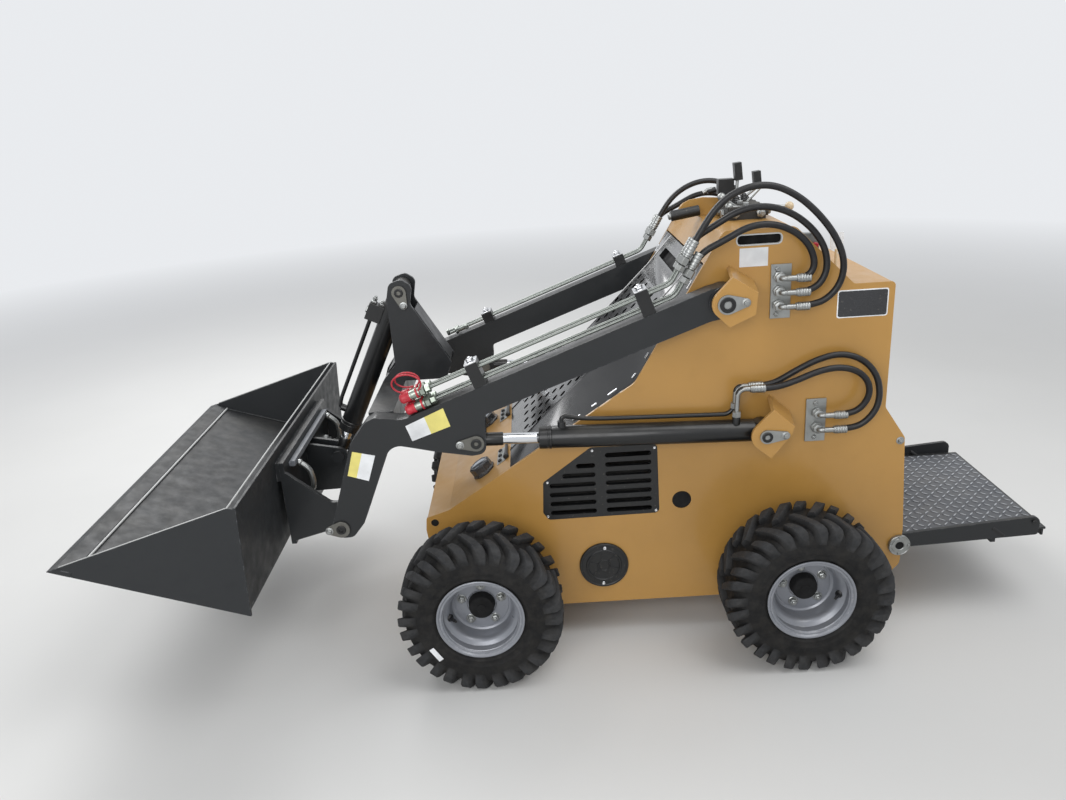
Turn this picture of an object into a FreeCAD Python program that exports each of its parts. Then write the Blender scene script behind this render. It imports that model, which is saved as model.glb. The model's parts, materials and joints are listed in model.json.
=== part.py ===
import FreeCAD, Part
import os
from math import acos, atan2, cos, degrees, hypot, pi, sin, sqrt, tan

# Compact stand-on skid steer loader, millimetres.
# +X is forward, +Y is to the loader's left and +Z is up. The ground is at Z = 0.
# Stations along X are measured from the middle of the wheelbase, and save() moves
# them so that the origin lies below the middle of the whole machine.

V = FreeCAD.Vector
os.makedirs("parts", exist_ok=True)

# Clearances
FIT = 0.1                # radial play of a shaft in its bore
SEAT = 0.3               # play between two pieces that rest against each other
GAP = 5.0                # least air between moving pieces

# Wheels
WHEELBASE = 880.0
TYRE_R = 224.0
TYRE_W = 165.0
TYRE_OUT = 536.0         # outer side of the tyres, from the centre plane
LUG_H = 16.0
LUGS = 20                # lugs on each half of a tread
LUG_W = 28.0
RIM_W = 153.0
RIM_FLANGE_R = 118.0
RIM_SEAT_R = 101.5
RIM_T = 4.5
RIM_DISH = 84.0          # depth of the disc inside the outer rim edge
DISC_T = 6.0
HUB_R = 35.0
HUB_LEN = 26.0
WHEEL_BOLT_PCD = 114.0
WHEEL_BOLTS = 5
AXLE_R = 20.0
AXLE_HOUSING_R = 46.0

# Chassis
PANEL_OUT = 300.0        # outer face of a side panel
PANEL_T = 8.0
BELLY_Z = 110.0
BELLY_T = 8.0
SHEET_T = 5.0
REAR_WALL_X = -690.0
ARM_IN = 309.0           # inner face of a boom arm
ARM_W = 52.0
BRACKET_IN = 375.0       # inner face of the gold outer brackets
BRACKET_T = 10.0

# Joint centres, as (x, z)
AXLE_Z = TYRE_R
BOOM_PIN = (-236.0, 1005.0)
LIFT_BASE = (-346.0, 641.0)
LIFT_EYE = (423.0, 663.0)
TILT_BASE = (632.0, 1016.0)
TILT_EYE = (880.0, 512.0)
BUCKET_PIN = (815.0, 432.0)
PLATFORM_PIN = (-759.0, 244.0)
BOOM_PIN_R = 20.0
LIFT_PIN_R = 14.0
TILT_PIN_R = 12.5
BUCKET_PIN_R = 16.0
PLATFORM_PIN_R = 12.0

# Cylinders
LIFT_BARREL_R = 30.5
LIFT_BARREL_END = 601.0  # from the base pin to the gland's face
LIFT_STROKE = 335.0      # travel outwards from the parked length
LIFT_ROD_R = 15.0
TILT_BARREL_R = 31.0
TILT_BARREL_END = 478.0
TILT_STROKE = 140.0
TILT_ROD_R = 14.0
EYE_DRIFT = 38.0         # how far a rod's eye may leave its pin
BASE_LUG = 14.0          # wall of a barrel's base lug around its pin
EYE_WALL = 11.0          # wall of a rod's eye around its pin
SLOT_HALF = 20.0         # half the gap for a cylinder's eye

# Bucket
BUCKET_HALF = 600.0
BUCKET_TIP = (1500.0, 486.0)
BUCKET_HEEL = (1013.0, 323.0)
BUCKET_TOP = (1000.0, 625.0)
BUCKET_T = 8.0
EDGE_W = 62.0
EDGE_T = 14.0

# Platform
PLATFORM_REAR = -1196.0
PLATFORM_PLAY = 6.0      # between the platform's bars and the side panels
BAR_T = 12.0
DECK_Z = (250.0, 256.0)
DECK_LIP_H = 30.0
LEG_BEHIND = 116.0       # the platform's legs, from its rear edge
LEG_SIZE = (14.0, 30.0, 60.0)
LEG_Y = 200.0

# Hard lines on the arms
LINE_R = 6.0
LINE_TIERS = (16.0, 50.0)    # height of the two tiers above the arm's top face
LINE_OFFSETS = (-14.0, 14.0)

X_ORIGIN = (BUCKET_TIP[0] + PLATFORM_REAR) / 2

WHEEL_Y = TYRE_OUT - TYRE_W / 2
PANEL_IN = PANEL_OUT - PANEL_T
INSIDE = PANEL_IN - SEAT
PLATFORM_HALF = PANEL_IN - PLATFORM_PLAY
ARM_OUT = ARM_IN + ARM_W
ARM_Y = ARM_IN + ARM_W / 2
BRACKET_OUT = BRACKET_IN + BRACKET_T
BELLY_LOW = BELLY_Z + PANEL_T / 4
BELLY_TOP = BELLY_LOW + BELLY_T


def save(name, shape):
    """Writes a node, moved so that the machine's middle is at X = 0."""
    moved = shape.copy()
    moved.translate(V(-X_ORIGIN, 0, 0))
    moved.exportStep("parts/" + name + ".step")


def box(x, y, z):
    """Block between two values on each axis."""
    return Part.makeBox(x[1] - x[0], y[1] - y[0], z[1] - z[0], V(x[0], y[0], z[0]))


def rod(start, end, radius):
    """Round bar between two points."""
    run = V(*end) - V(*start)
    return Part.makeCylinder(radius, run.Length, V(*start), run)


def disc(centre, radius, y0, y1):
    """Round plate or pin along Y at an (x, z) centre."""
    return rod((centre[0], y0, centre[1]), (centre[0], y1, centre[1]), radius)


def rounded_wire(outline):
    """Closed wire through (x, z, corner radius) points at Y = 0."""
    edges = []
    count = len(outline)
    ends = []
    for i in range(count):
        x, z, r = outline[i]
        corner = V(x, 0, z)
        before = V(outline[i - 1][0], 0, outline[i - 1][1])
        after = V(outline[(i + 1) % count][0], 0, outline[(i + 1) % count][1])
        u = (corner - before).normalize()
        v = (after - corner).normalize()
        turn = u.getAngle(v)
        if r and turn > 0.01:
            cut = r * tan(turn / 2)
            inward = (v - u).normalize()
            first, last = corner - u * cut, corner + v * cut
            middle = corner + inward * (r / cos(turn / 2) - r)
            edges.append(Part.Arc(first, middle, last).toShape())
            ends.append((first, last))
        else:
            ends.append((corner, corner))
    for i in range(count):
        start, stop = ends[i][1], ends[(i + 1) % count][0]
        if (stop - start).Length > 0.001:
            edges.append(Part.LineSegment(start, stop).toShape())
    return Part.Wire(Part.__sortEdges__(edges))


def plate(outline, y0, y1):
    """Side profile of (x, z, corner radius) points, extruded along Y."""
    face = Part.Face(rounded_wire(outline))
    face.translate(V(0, y0, 0))
    return face.extrude(V(0, y1 - y0, 0))


def bent_sheet(points, thickness, y0, y1):
    """Sheet of even thickness below a polyline of (x, z) points."""
    below = []
    for i, (x, z) in enumerate(points):
        sides = []
        for a, b in ((i - 1, i), (i, i + 1)):
            if 0 <= a and b < len(points):
                dx, dz = points[b][0] - points[a][0], points[b][1] - points[a][1]
                run = hypot(dx, dz)
                sides.append((dz / run, -dx / run))
        nx = sum(s[0] for s in sides) / len(sides)
        nz = sum(s[1] for s in sides) / len(sides)
        scale = thickness / (nx * nx + nz * nz)
        below.append((x + nx * scale, z + nz * scale))
    ring = [(x, z, 0) for x, z in points + below[::-1]]
    return plate(ring, y0, y1)


def teardrop(centre, radius, end, end_r, y0, y1):
    """Keeper plate: two discs of different radius with their common tangents."""
    dx, dz = end[0] - centre[0], end[1] - centre[1]
    lean = acos((radius - end_r) / hypot(dx, dz))
    base = atan2(dz, dx)
    corners = []
    for (x, z), r, way in ((centre, radius, -1), (end, end_r, -1),
                           (end, end_r, 1), (centre, radius, 1)):
        a = base + way * lean
        corners.append((x + r * cos(a), z + r * sin(a), 0))
    return fuse([plate(corners, y0, y1), disc(centre, radius, y0, y1), disc(end, end_r, y0, y1)])


def touching(point, centre, radius, way):
    """Where a line from a point touches a circle, on the side that way names."""
    dx, dz = point[0] - centre[0], point[1] - centre[1]
    a = atan2(dz, dx) + way * acos(radius / hypot(dx, dz))
    return (centre[0] + radius * cos(a), centre[1] + radius * sin(a), 0)


def mirrored(shape):
    """Copy on the other side of the machine's centre plane."""
    return shape.mirror(V(0, 0, 0), V(0, 1, 0))


def both_sides(shape):
    return Part.makeCompound([shape, mirrored(shape)])


def fuse(shapes):
    return shapes[0].multiFuse(shapes[1:]).removeSplitter()


def pipe(points, radius, share=0.45):
    """Tube along straight runs joined by tangent arcs."""
    path = [V(*p) for p in points]
    edges = []
    last = path[0]
    tightest = 1e9
    for i in range(1, len(path) - 1):
        u = path[i] - path[i - 1]
        v = path[i + 1] - path[i]
        cut = share * min(u.Length, v.Length)
        turn = u.getAngle(v)
        u.normalize()
        v.normalize()
        bend = cut / tan(turn / 2)
        tightest = min(tightest, bend)
        inward = (v - u).normalize()
        first, end = path[i] - u * cut, path[i] + v * cut
        middle = path[i] + inward * (bend / cos(turn / 2) - bend)
        if (first - last).Length > 0.01:
            edges.append(Part.LineSegment(last, first).toShape())
        edges.append(Part.Arc(first, middle, end).toShape())
        last = end
    edges.append(Part.LineSegment(last, path[-1]).toShape())
    spine = Part.Wire(edges)
    ring = Part.Wire(Part.Circle(path[0], path[1] - path[0], radius).toShape())
    tube = spine.makePipeShell([ring], True, False)
    print("pipe of %.0f mm, tightest radius %.0f mm" % (spine.Length, tightest))
    return tube


# Wheels

def faceted_ring(profile, sides):
    """Ring about Y from a closed (radius, y) profile, with flat faces."""
    step = 2 * pi / sides
    faces = []
    for i in range(sides):
        for j in range(len(profile)):
            (r0, y0), (r1, y1) = profile[j], profile[(j + 1) % len(profile)]
            corners = []
            for r, y, a in ((r0, y0, i), (r1, y1, i), (r1, y1, i + 1), (r0, y0, i + 1)):
                corners.append(V(r * cos(a * step), y, r * sin(a * step)))
            faces.append(Part.Face(Part.makePolygon(corners + [corners[0]])))
    return Part.Solid(Part.makeShell(faces))


def tyre_lug(side):
    """One slanting bar of the tread at the wheel's top."""
    # Columns: along the tread, across it
    outline = [
        (-LUG_W * 0.9, TYRE_W / 2),
        (LUG_W * 0.1, TYRE_W / 2),
        (LUG_W, TYRE_W * 0.04),
        (LUG_W * 0.1, TYRE_W * 0.04),
    ]
    reach = max(abs(t) for t, y in outline)
    top = sqrt(TYRE_R ** 2 - reach ** 2)
    root = TYRE_R - LUG_H * 2.4
    corners = [V(t, y * side, root) for t, y in outline]
    base = Part.Face(Part.makePolygon(corners + [corners[0]]))
    return base.extrude(V(0, 0, top - root))


def tyre():
    """Tyre about the origin with bars that alternate from side to side."""
    half = TYRE_W / 2
    tread_r = TYRE_R - LUG_H
    seat_r = RIM_SEAT_R + SEAT
    inner_half = RIM_W / 2 - RIM_T - SEAT
    bore_r = seat_r / cos(pi / LUGS)
    # Columns: radius, half width
    side = [
        (bore_r, inner_half),
        (RIM_FLANGE_R + 2, inner_half),
        (TYRE_R - LUG_H * 2.2, half - 1),
        (tread_r, half * 0.78),
    ]
    profile = side + [(r, -y) for r, y in side[::-1]]
    body = faceted_ring(profile, LUGS)
    step = 360.0 / LUGS
    lugs = []
    for i in range(LUGS):
        for lead, across in ((0, 1), (0.5, -1)):
            lug = tyre_lug(across)
            lug.rotate(V(0, 0, 0), V(0, 1, 0), (i + lead) * step)
            lugs.append(lug)
    return body.multiFuse(lugs)


def rim():
    """Dished steel rim about the origin, its outer side at +Y, with bolt heads."""
    half = RIM_W / 2
    disc_out = half - RIM_DISH
    disc_in = disc_out - DISC_T
    barrel_in = RIM_SEAT_R - RIM_T
    profile = [
        (RIM_FLANGE_R, half),
        (RIM_FLANGE_R, half - RIM_T),
        (RIM_SEAT_R, half - RIM_T),
        (RIM_SEAT_R, RIM_T - half),
        (RIM_FLANGE_R, RIM_T - half),
        (RIM_FLANGE_R, -half),
        (barrel_in, -half),
        (barrel_in, disc_in),
        (HUB_R + SEAT, disc_in),
        (HUB_R + SEAT, disc_out),
        (barrel_in, disc_out),
        (barrel_in, half),
    ]
    ring = [V(r, y, 0) for r, y in profile]
    body = Part.Face(Part.makePolygon(ring + [ring[0]])).revolve(V(0, 0, 0), V(0, 1, 0), 360)
    valve = disc((0, (HUB_R + barrel_in) / 2 + 8), 6, disc_in - 1, disc_out + 1)
    bolts = []
    for i in range(WHEEL_BOLTS):
        a = 2 * pi * (i + 0.5) / WHEEL_BOLTS
        centre = (WHEEL_BOLT_PCD / 2 * sin(a), WHEEL_BOLT_PCD / 2 * cos(a))
        bolts.append(disc(centre, 9, disc_out, disc_out + 8))
    return fuse([body.cut(valve)] + bolts)


def hub():
    """Wheel hub about the origin: flange behind the disc, nose through it, shaft inward."""
    disc_out = RIM_W / 2 - RIM_DISH
    disc_in = disc_out - DISC_T
    flange_in = disc_in - SEAT - 12
    nose = disc((0, 0), HUB_R, flange_in, disc_out + HUB_LEN)
    flange = disc((0, 0), WHEEL_BOLT_PCD / 2 + 14, flange_in, disc_in - SEAT)
    shaft = disc((0, 0), AXLE_R, PANEL_OUT - WHEEL_Y, flange_in + 1)
    return fuse([nose, flange, shaft])


def wheels():
    rubber, steel, centre = tyre(), rim(), hub()
    for end, x in (("front", WHEELBASE / 2), ("rear", -WHEELBASE / 2)):
        for side, way in (("left", 1), ("right", -1)):
            for name, shape in (("tyre", rubber), ("rim", Part.makeCompound([steel, centre]))):
                piece = shape.copy()
                if way < 0:
                    piece = mirrored(piece)
                piece.translate(V(x, way * WHEEL_Y, AXLE_Z))
                save(name + "_" + end + "_" + side, piece)


def axle_housings():
    """Bearing housings on the side panels, which carry the wheel hubs."""
    flange_in = WHEEL_Y + RIM_W / 2 - RIM_DISH - DISC_T - SEAT - 12
    solids = []
    for x in (WHEELBASE / 2, -WHEELBASE / 2):
        centre = (x, AXLE_Z)
        body = disc(centre, AXLE_HOUSING_R, PANEL_OUT + SEAT, flange_in - GAP)
        foot = disc(centre, AXLE_HOUSING_R + 24, PANEL_OUT + SEAT, PANEL_OUT + SEAT + 12)
        bore = disc(centre, AXLE_R + FIT, PANEL_OUT, flange_in)
        solids.append(body.fuse(foot).cut(bore))
    save("axle_housings", both_sides(Part.makeCompound(solids)))


# Chassis

# Columns: x, z, corner radius
PANEL_OUTLINE = [
    (560, BELLY_Z, 20),
    (592, 380, 15),
    (588, 418, 8),
    (522, 439, 30),
    (-10, 783, 60),
    (-218, 1133, 0),
    (-242, 1175, 26),
    (-425, 1175, 26),
    (-583, 1018, 14),
    (REAR_WALL_X, 1018, 12),
    (REAR_WALL_X, 670, 20),
    (-750, 578, 14),
    (-768, 300, 20),
    (-768, 180, 30),
    (-700, BELLY_Z, 30),
]
VENT_OUTLINE = [
    (252, 507, 10),
    (116, 605, 18),
    (-68, 602, 10),
    (-72, 392, 14),
    (242, 389, 14),
    (257, 412, 6),
]
HAND_SLOT_X = (-394.0, -274.0)
HAND_SLOT_Z = (1132.0, 1163.0)
CAP_CENTRE = (91.0, 235.0)
CAP_R = 70.0
CAP_LAP = 9.0            # how far the cap covers the panel around its hole
DRAIN_HOLE = (-135.0, 428.0)
DRAIN_HOLE_R = 27.0
FRONT_WALL_X = 551.0     # lower edge of the front wall
BELLY_REAR = -700.0
ENGINE_X = (-110.0, 260.0)
ENGINE_HALF = 215.0
ENGINE_H = 390.0
HOOD_SLOT = [(-148, 1040, 0), (-190, 1012, 0), (-240, 1030, 0), (-160, 1078, 0)]
HOOD_SLOT_HALF = 137.0
# Slots of the side vents: rows, their pitch and height, and where the columns lie
VENT_ROWS = 7
VENT_FIRST = 410.0
VENT_PITCH = 28.0
VENT_SLOT_H = 14.0
VENT_MIDDLE = (77.0, 105.0)
VENT_FRAME = 17.0
VENT_DEPTH = 14.0
# Outer faces of the sheets between the panels, from the rear forwards, as (x, z)
CONSOLE_TOP = [(-689, 1013), (-581, 1013), (-424, 1170), (-240, 1170), (-194, 1092.5)]
HOOD_TOP = [(-192, 1089), (-10, 783), (382, 529.5)]
NOSE_TOP = [(385, 527.5), (522, 439), (585, 419), (589, 384)]


def side_panels():
    """Plate with the hand slot, the vent, the cap's hole and the pin bores."""
    panel = plate(PANEL_OUTLINE, PANEL_IN, PANEL_OUT)
    slot_r = (HAND_SLOT_Z[1] - HAND_SLOT_Z[0]) / 2 - 0.01
    slot = [(x, z, slot_r) for x, z in (
        (HAND_SLOT_X[0], HAND_SLOT_Z[0]), (HAND_SLOT_X[1], HAND_SLOT_Z[0]),
        (HAND_SLOT_X[1], HAND_SLOT_Z[1]), (HAND_SLOT_X[0], HAND_SLOT_Z[1]))]
    y0, y1 = PANEL_IN - 1, PANEL_OUT + 1
    cuts = [
        plate(slot, y0, y1),
        plate(VENT_OUTLINE, y0, y1),
        disc(CAP_CENTRE, CAP_R - CAP_LAP + SEAT, y0, y1),
        disc(DRAIN_HOLE, DRAIN_HOLE_R, y0, y1),
        disc(BOOM_PIN, BOOM_PIN_R + FIT, y0, y1),
        disc(LIFT_BASE, LIFT_PIN_R + FIT, y0, y1),
        disc(PLATFORM_PIN, PLATFORM_PIN_R + FIT, y0, y1),
    ]
    for x in (WHEELBASE / 2, -WHEELBASE / 2):
        cuts.append(disc((x, AXLE_Z), AXLE_R + 6, y0, y1))
    panel = panel.cut(Part.makeCompound(cuts))
    save("side_panel_left", panel)
    save("side_panel_right", mirrored(panel))


def vents():
    """Moulded plates in the sides, with rows of slots on both sides of a middle bar."""
    middle = sum(VENT_MIDDLE) / 2
    centre_z = VENT_FIRST + (VENT_ROWS - 1) * VENT_PITCH / 2
    shrunk = []
    for x, z, r in VENT_OUTLINE:
        shrunk.append((x + (SEAT if x < middle else -SEAT), z + (SEAT if z < centre_z else -SEAT), r))
    y1 = PANEL_OUT
    y0 = y1 - VENT_DEPTH
    blank = plate(shrunk, y0, y1)
    half = VENT_SLOT_H / 2
    (low_x, low_z), (high_x, high_z) = VENT_OUTLINE[0][:2], VENT_OUTLINE[1][:2]
    slots = []
    for row in range(VENT_ROWS):
        z = VENT_FIRST + row * VENT_PITCH
        slant = low_x + (high_x - low_x) * (z + half - low_z) / (high_z - low_z)
        front = min(low_x, slant - half) - VENT_FRAME
        rear = VENT_OUTLINE[2][0] + VENT_FRAME
        for x0, x1 in ((rear, VENT_MIDDLE[0]), (VENT_MIDDLE[1], front)):
            if x1 - x0 > 2 * VENT_SLOT_H:
                ends = [(x0, z - half), (x1, z - half), (x1, z + half), (x0, z + half)]
                slots.append(plate([(x, h, half - 0.01) for x, h in ends], y0 - 1, y1 + 1))
    save("side_vents", both_sides(blank.cut(Part.makeCompound(slots))))


def access_caps():
    """Round covers low on the sides, and the plugs in the drain holes."""
    cover = disc(CAP_CENTRE, CAP_R, PANEL_OUT + SEAT, PANEL_OUT + 7)
    plug = disc(CAP_CENTRE, CAP_R - CAP_LAP, PANEL_IN - 4, PANEL_OUT + 1)
    drain = disc(DRAIN_HOLE, DRAIN_HOLE_R - SEAT, PANEL_IN, PANEL_OUT - 3)
    save("access_caps", both_sides(Part.makeCompound([cover.fuse(plug), drain])))


def chassis_sheets():
    """Belly, nose, hood, console and rear wall between the side panels."""
    belly = box((BELLY_REAR, FRONT_WALL_X), (-INSIDE, INSIDE), (BELLY_LOW, BELLY_LOW + BELLY_T))
    nose_end, nose_z = NOSE_TOP[-1]
    z1 = nose_z - SHEET_T / 4
    lower, upper = FRONT_WALL_X - BELLY_T, nose_end - BELLY_T
    front = plate([
        (lower, BELLY_TOP + SEAT, 0), (FRONT_WALL_X, BELLY_TOP + SEAT, 0),
        (nose_end, z1, 0), (upper, z1, 0)], -INSIDE, INSIDE)
    save("belly_plate", belly)
    save("front_wall", front)
    nose = bent_sheet(NOSE_TOP, SHEET_T, -INSIDE, INSIDE)
    save("nose_cover", nose)
    hood = bent_sheet(HOOD_TOP, SHEET_T, -INSIDE, INSIDE)
    save("hood_cover", hood.cut(plate(HOOD_SLOT, -HOOD_SLOT_HALF, HOOD_SLOT_HALF)))
    console = bent_sheet(CONSOLE_TOP, SHEET_T, -INSIDE, INSIDE)
    save("console_cover", console)
    rear_top = CONSOLE_TOP[0][1] - SHEET_T - SEAT
    rear = box((REAR_WALL_X + PANEL_T / 8, REAR_WALL_X + PANEL_T), (-INSIDE, INSIDE),
               (BELLY_TOP + SEAT, rear_top))
    save("rear_wall", rear)


def engine_block():
    """Twin-cylinder petrol engine with its pumps, as one plain block."""
    floor = BELLY_TOP + SEAT
    save("engine_block", box(ENGINE_X, (-ENGINE_HALF, ENGINE_HALF), (floor, floor + ENGINE_H)))


LAMP_CENTRES = ((420.0, 195.0), (420.0, -195.0))
LAMP_R = 33.0


def head_lamps():
    """Eight-sided lamps that stand square to the sloping nose."""
    (x0, z0), (x1, z1) = NOSE_TOP[0], NOSE_TOP[1]
    slope = atan2(z0 - z1, x1 - x0)
    solids = []
    for x, y in LAMP_CENTRES:
        z = z1 + (x1 - x) * tan(slope)
        ring = []
        for i in range(8):
            a = 2 * pi * (i + 0.5) / 8
            ring.append(V(LAMP_R * cos(a), LAMP_R * sin(a), SEAT))
        lamp = Part.Face(Part.makePolygon(ring + [ring[0]])).extrude(V(0, 0, 30))
        lamp.rotate(V(0, 0, 0), V(0, 1, 0), degrees(slope))
        lamp.translate(V(x, y, z))
        solids.append(lamp)
    save("head_lamps", Part.makeCompound(solids))


# Outer plates at the pivots. Columns: pin, its radius, radius around it, corners from the
# top rearwards to the bottom; the first two are the ends of the edge that is folded inwards
BRACKETS = [
    (BOOM_PIN, BOOM_PIN_R, 38.0, ((-249.0, 1073.0), (-313.0, 1031.0), (-308.0, 974.0),
                                  (-243.0, 945.0))),
    (LIFT_BASE, LIFT_PIN_R, 40.0, ((-363.0, 715.0), (-419.0, 665.0), (-412.0, 642.0),
                                   (-360.0, 577.0))),
]
FOLD_LEAN = 16.0         # how far a folded web leans out from its edge to its foot


def brackets():
    """Bent plates that carry the far ends of the boom pins and cylinder pins."""
    foot_y = PANEL_OUT + SEAT
    depth = BRACKET_OUT - foot_y
    solids = []
    for centre, pin_r, nose_r, corners in BRACKETS:
        top, low = corners[0], corners[-1]
        outline = [(x, z, 0) for x, z in corners]
        outline += [touching(low, centre, nose_r, 1), touching(top, centre, nose_r, -1)]
        cheek = fuse([plate(outline, BRACKET_IN, BRACKET_OUT),
                      disc(centre, nose_r, BRACKET_IN, BRACKET_OUT)])
        (x0, z0), (x1, z1) = corners[0], corners[1]
        run = hypot(x1 - x0, z1 - z0)
        # The web is bent about a line along Z and then turned onto the folded edge
        lean = FOLD_LEAN / depth
        profile = [(-FOLD_LEAN - lean * depth / 4, foot_y - depth / 4), (0, BRACKET_OUT),
                   (BRACKET_T, BRACKET_OUT)]
        web = bent_sheet(profile, BRACKET_T, 0, run)
        web.rotate(V(0, 0, 0), V(1, 0, 0), -90)
        web.rotate(V(0, 0, 0), V(0, 1, 0), degrees(atan2(x0 - x1, z0 - z1)))
        web.translate(V(x0, 0, z0))
        reach = 2 * FOLD_LEAN + run
        room = box((x1 - reach, x0 + reach), (foot_y, BRACKET_OUT), (z1 - reach, z0 + reach))
        bore = disc(centre, pin_r + FIT, BRACKET_IN - 1, BRACKET_OUT + 1)
        solids.append(fuse([cheek, web.common(room)]).cut(bore))
    save("pivot_brackets", both_sides(Part.makeCompound(solids)))


KEEPER_T = 6.0
# Columns: pin, its radius, radius of the keeper around it, the keeper's bolt
KEEPERS = [
    (BOOM_PIN, BOOM_PIN_R, 25.0, (-282.0, 1008.0)),
    (LIFT_BASE, LIFT_PIN_R, 19.0, (-394.0, 643.0)),
]
KEEPER_END_R = 11.0


def pivot_pins():
    """Pins of the boom and of the lift cylinders, with their keeper plates."""
    y1 = BRACKET_OUT + SEAT
    solids = []
    for centre, radius, keeper_r, bolt in KEEPERS:
        pin = disc(centre, radius, PANEL_IN - 4, y1 + KEEPER_T + 2)
        solids.append(pin.fuse(teardrop(centre, keeper_r, bolt, KEEPER_END_R, y1, y1 + KEEPER_T)))
    save("pivot_pins", both_sides(Part.makeCompound(solids)))


# Columns: x range, z range, x of the fittings, heights of the fittings
BULKHEADS = [
    ((-417.0, -365.0), (940.0, 1082.0), -385.0, (1050.0, 1013.0, 976.0)),
    ((-526.0, -472.0), (586.0, 709.0), -501.0, (670.0, 628.0)),
]
BULKHEAD_T = 6.0
FITTING_R = 10.0
NUT_R = 13.0
FITTING_LEN = 28.0
FITTING_Y = 334.0


def hose_bulkheads():
    """Plates on the side panels, with elbows that turn the hoses rearwards."""
    foot_y = PANEL_OUT + SEAT
    solids = []
    for x_range, z_range, x, heights in BULKHEADS:
        pieces = [box(x_range, (foot_y, foot_y + BULKHEAD_T), z_range)]
        for z in heights:
            centre = (x, FITTING_Y, z)
            pieces.append(disc((x, z), NUT_R, foot_y + BULKHEAD_T / 2, FITTING_Y - FITTING_R / 2))
            pieces.append(Part.makeSphere(NUT_R, V(*centre)))
            pieces.append(rod(centre, (x - FITTING_LEN, FITTING_Y, z), FITTING_R))
        solids.append(fuse(pieces))
    save("hose_bulkheads", both_sides(Part.makeCompound(solids)))


CONSOLE_Z = CONSOLE_TOP[2][1]
VALVE_H = 34.0


def controls():
    """Spool valve bank on the console, with its levers and their grips."""
    base = box((-400, -300), (-110, 110), (CONSOLE_Z + SEAT, CONSOLE_Z + VALVE_H))
    spools = []
    for i in range(5):
        y = -88 + i * 44
        spools.append(rod((-410, y, CONSOLE_Z + 18), (-290, y, CONSOLE_Z + 18), 13))
    save("valve_bank", fuse([base] + spools))
    solids = []
    # Columns: x and y of the foot, x and y of the grip, grip's lower and upper end
    for x, y, gx, gy, low, high, radius in (
            (-340, 12, -347, 12, 1262, 1316, 15), (-372, -30, -401, -30, 1236, 1288, 15),
            (-330, 70, -300, 80, 1222, 1246, 11), (-345, -88, -330, -96, 1222, 1246, 11),
            (-375, 66, -440, 76, 1210, 1234, 11)):
        foot = (x, y, CONSOLE_Z + VALVE_H + SEAT)
        knuckle = (x, y, foot[2] + 12)
        stem = rod(knuckle, (gx, gy, low + 2), 5)
        grip = rod((gx, gy, low), (gx, gy, high), radius)
        boot = rod(foot, (x, y, knuckle[2] + 6), 12)
        solids.append(fuse([boot, stem, grip]))
    save("control_levers", Part.makeCompound(solids))


# Boom

# Columns: x, z, corner radius
ARM_OUTLINE = [
    (-236, 1047, 0),
    (-200, 1040, 30),
    (613, 741, 60),
    (687, 752, 20),
    (712, 740, 20),
    (757, 684, 20),
    (838, 446, 20),
    (824, 403, 24),
    (784, 405, 24),
    (750, 446, 10),
    (652, 674, 40),
    (600, 662, 20),
    (531, 645, 20),
    (436, 627, 30),
    (398, 632, 24),
    (394, 742, 14),
    (-200, 957, 30),
    (-236, 963, 0),
]
KNEE = (676.0, 716.0)        # centre of the tube between the arms
KNEE_TUBE = 34.0             # half its side


def arm():
    """Boom arm: pivot boss, box beam, knee, leg and the lug for the lift rod."""
    body = plate(ARM_OUTLINE, ARM_IN, ARM_OUT)
    boss = disc(BOOM_PIN, 42, ARM_IN - 4, ARM_OUT + 6)
    eye_room = disc(LIFT_EYE, LIFT_PIN_R + EYE_WALL + EYE_DRIFT + 1, ARM_Y - SLOT_HALF,
                    ARM_Y + SLOT_HALF)
    way = plate([
        (LIFT_EYE[0] + 20, 600, 0), (LIFT_EYE[0] + 20, 705, 0), (360, 735, 0),
        (360, 600, 0)], ARM_Y - SLOT_HALF, ARM_Y + SLOT_HALF)
    body = body.fuse(boss)
    bores = [
        disc(BOOM_PIN, BOOM_PIN_R + FIT, ARM_IN - 6, ARM_OUT + 8),
        disc(BUCKET_PIN, BUCKET_PIN_R + FIT, ARM_IN - 1, ARM_OUT + 1),
        disc(LIFT_EYE, LIFT_PIN_R + FIT, ARM_IN - 1, ARM_OUT + 1),
    ]
    return body.cut(Part.makeCompound([eye_room, way])).cut(Part.makeCompound(bores))


def boom():
    left = arm()
    save("arm_left", left)
    save("arm_right", mirrored(left))
    x, z = KNEE
    half = KNEE_TUBE
    tube = box((x - half, x + half), (SEAT - ARM_IN, ARM_IN - SEAT), (z - half, z + half))
    save("cross_tube", tube)
    save("arm_pins", both_sides(Part.makeCompound(arm_pins())))


LIFT_EYE_BOLT = (466.0, 663.0)
BUCKET_PIN_BOLT = (BUCKET_PIN[0] + 1, BUCKET_PIN[1] + 43)
TILT_PIN_BOLT = (TILT_BASE[0] - 10, TILT_BASE[1] - 38)


def arm_pins():
    """Short pins in the outer and inner cheeks of an arm's lug, and the keepers."""
    y0, y1 = ARM_OUT + SEAT, ARM_OUT + SEAT + KEEPER_T
    outer = disc(LIFT_EYE, LIFT_PIN_R, ARM_Y + SLOT_HALF, y1 + 2)
    keeper = teardrop(LIFT_EYE, LIFT_PIN_R + 8, LIFT_EYE_BOLT, KEEPER_END_R, y0, y1)
    inner = disc(LIFT_EYE, LIFT_PIN_R, ARM_IN - 3, ARM_Y - SLOT_HALF)
    cap = teardrop(BUCKET_PIN, BUCKET_PIN_R + 8, BUCKET_PIN_BOLT, KEEPER_END_R, y0, y1)
    return [outer.fuse(keeper), inner, cap]


TOWER_IN = 43.0
TOWER_T = 10.0


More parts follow.
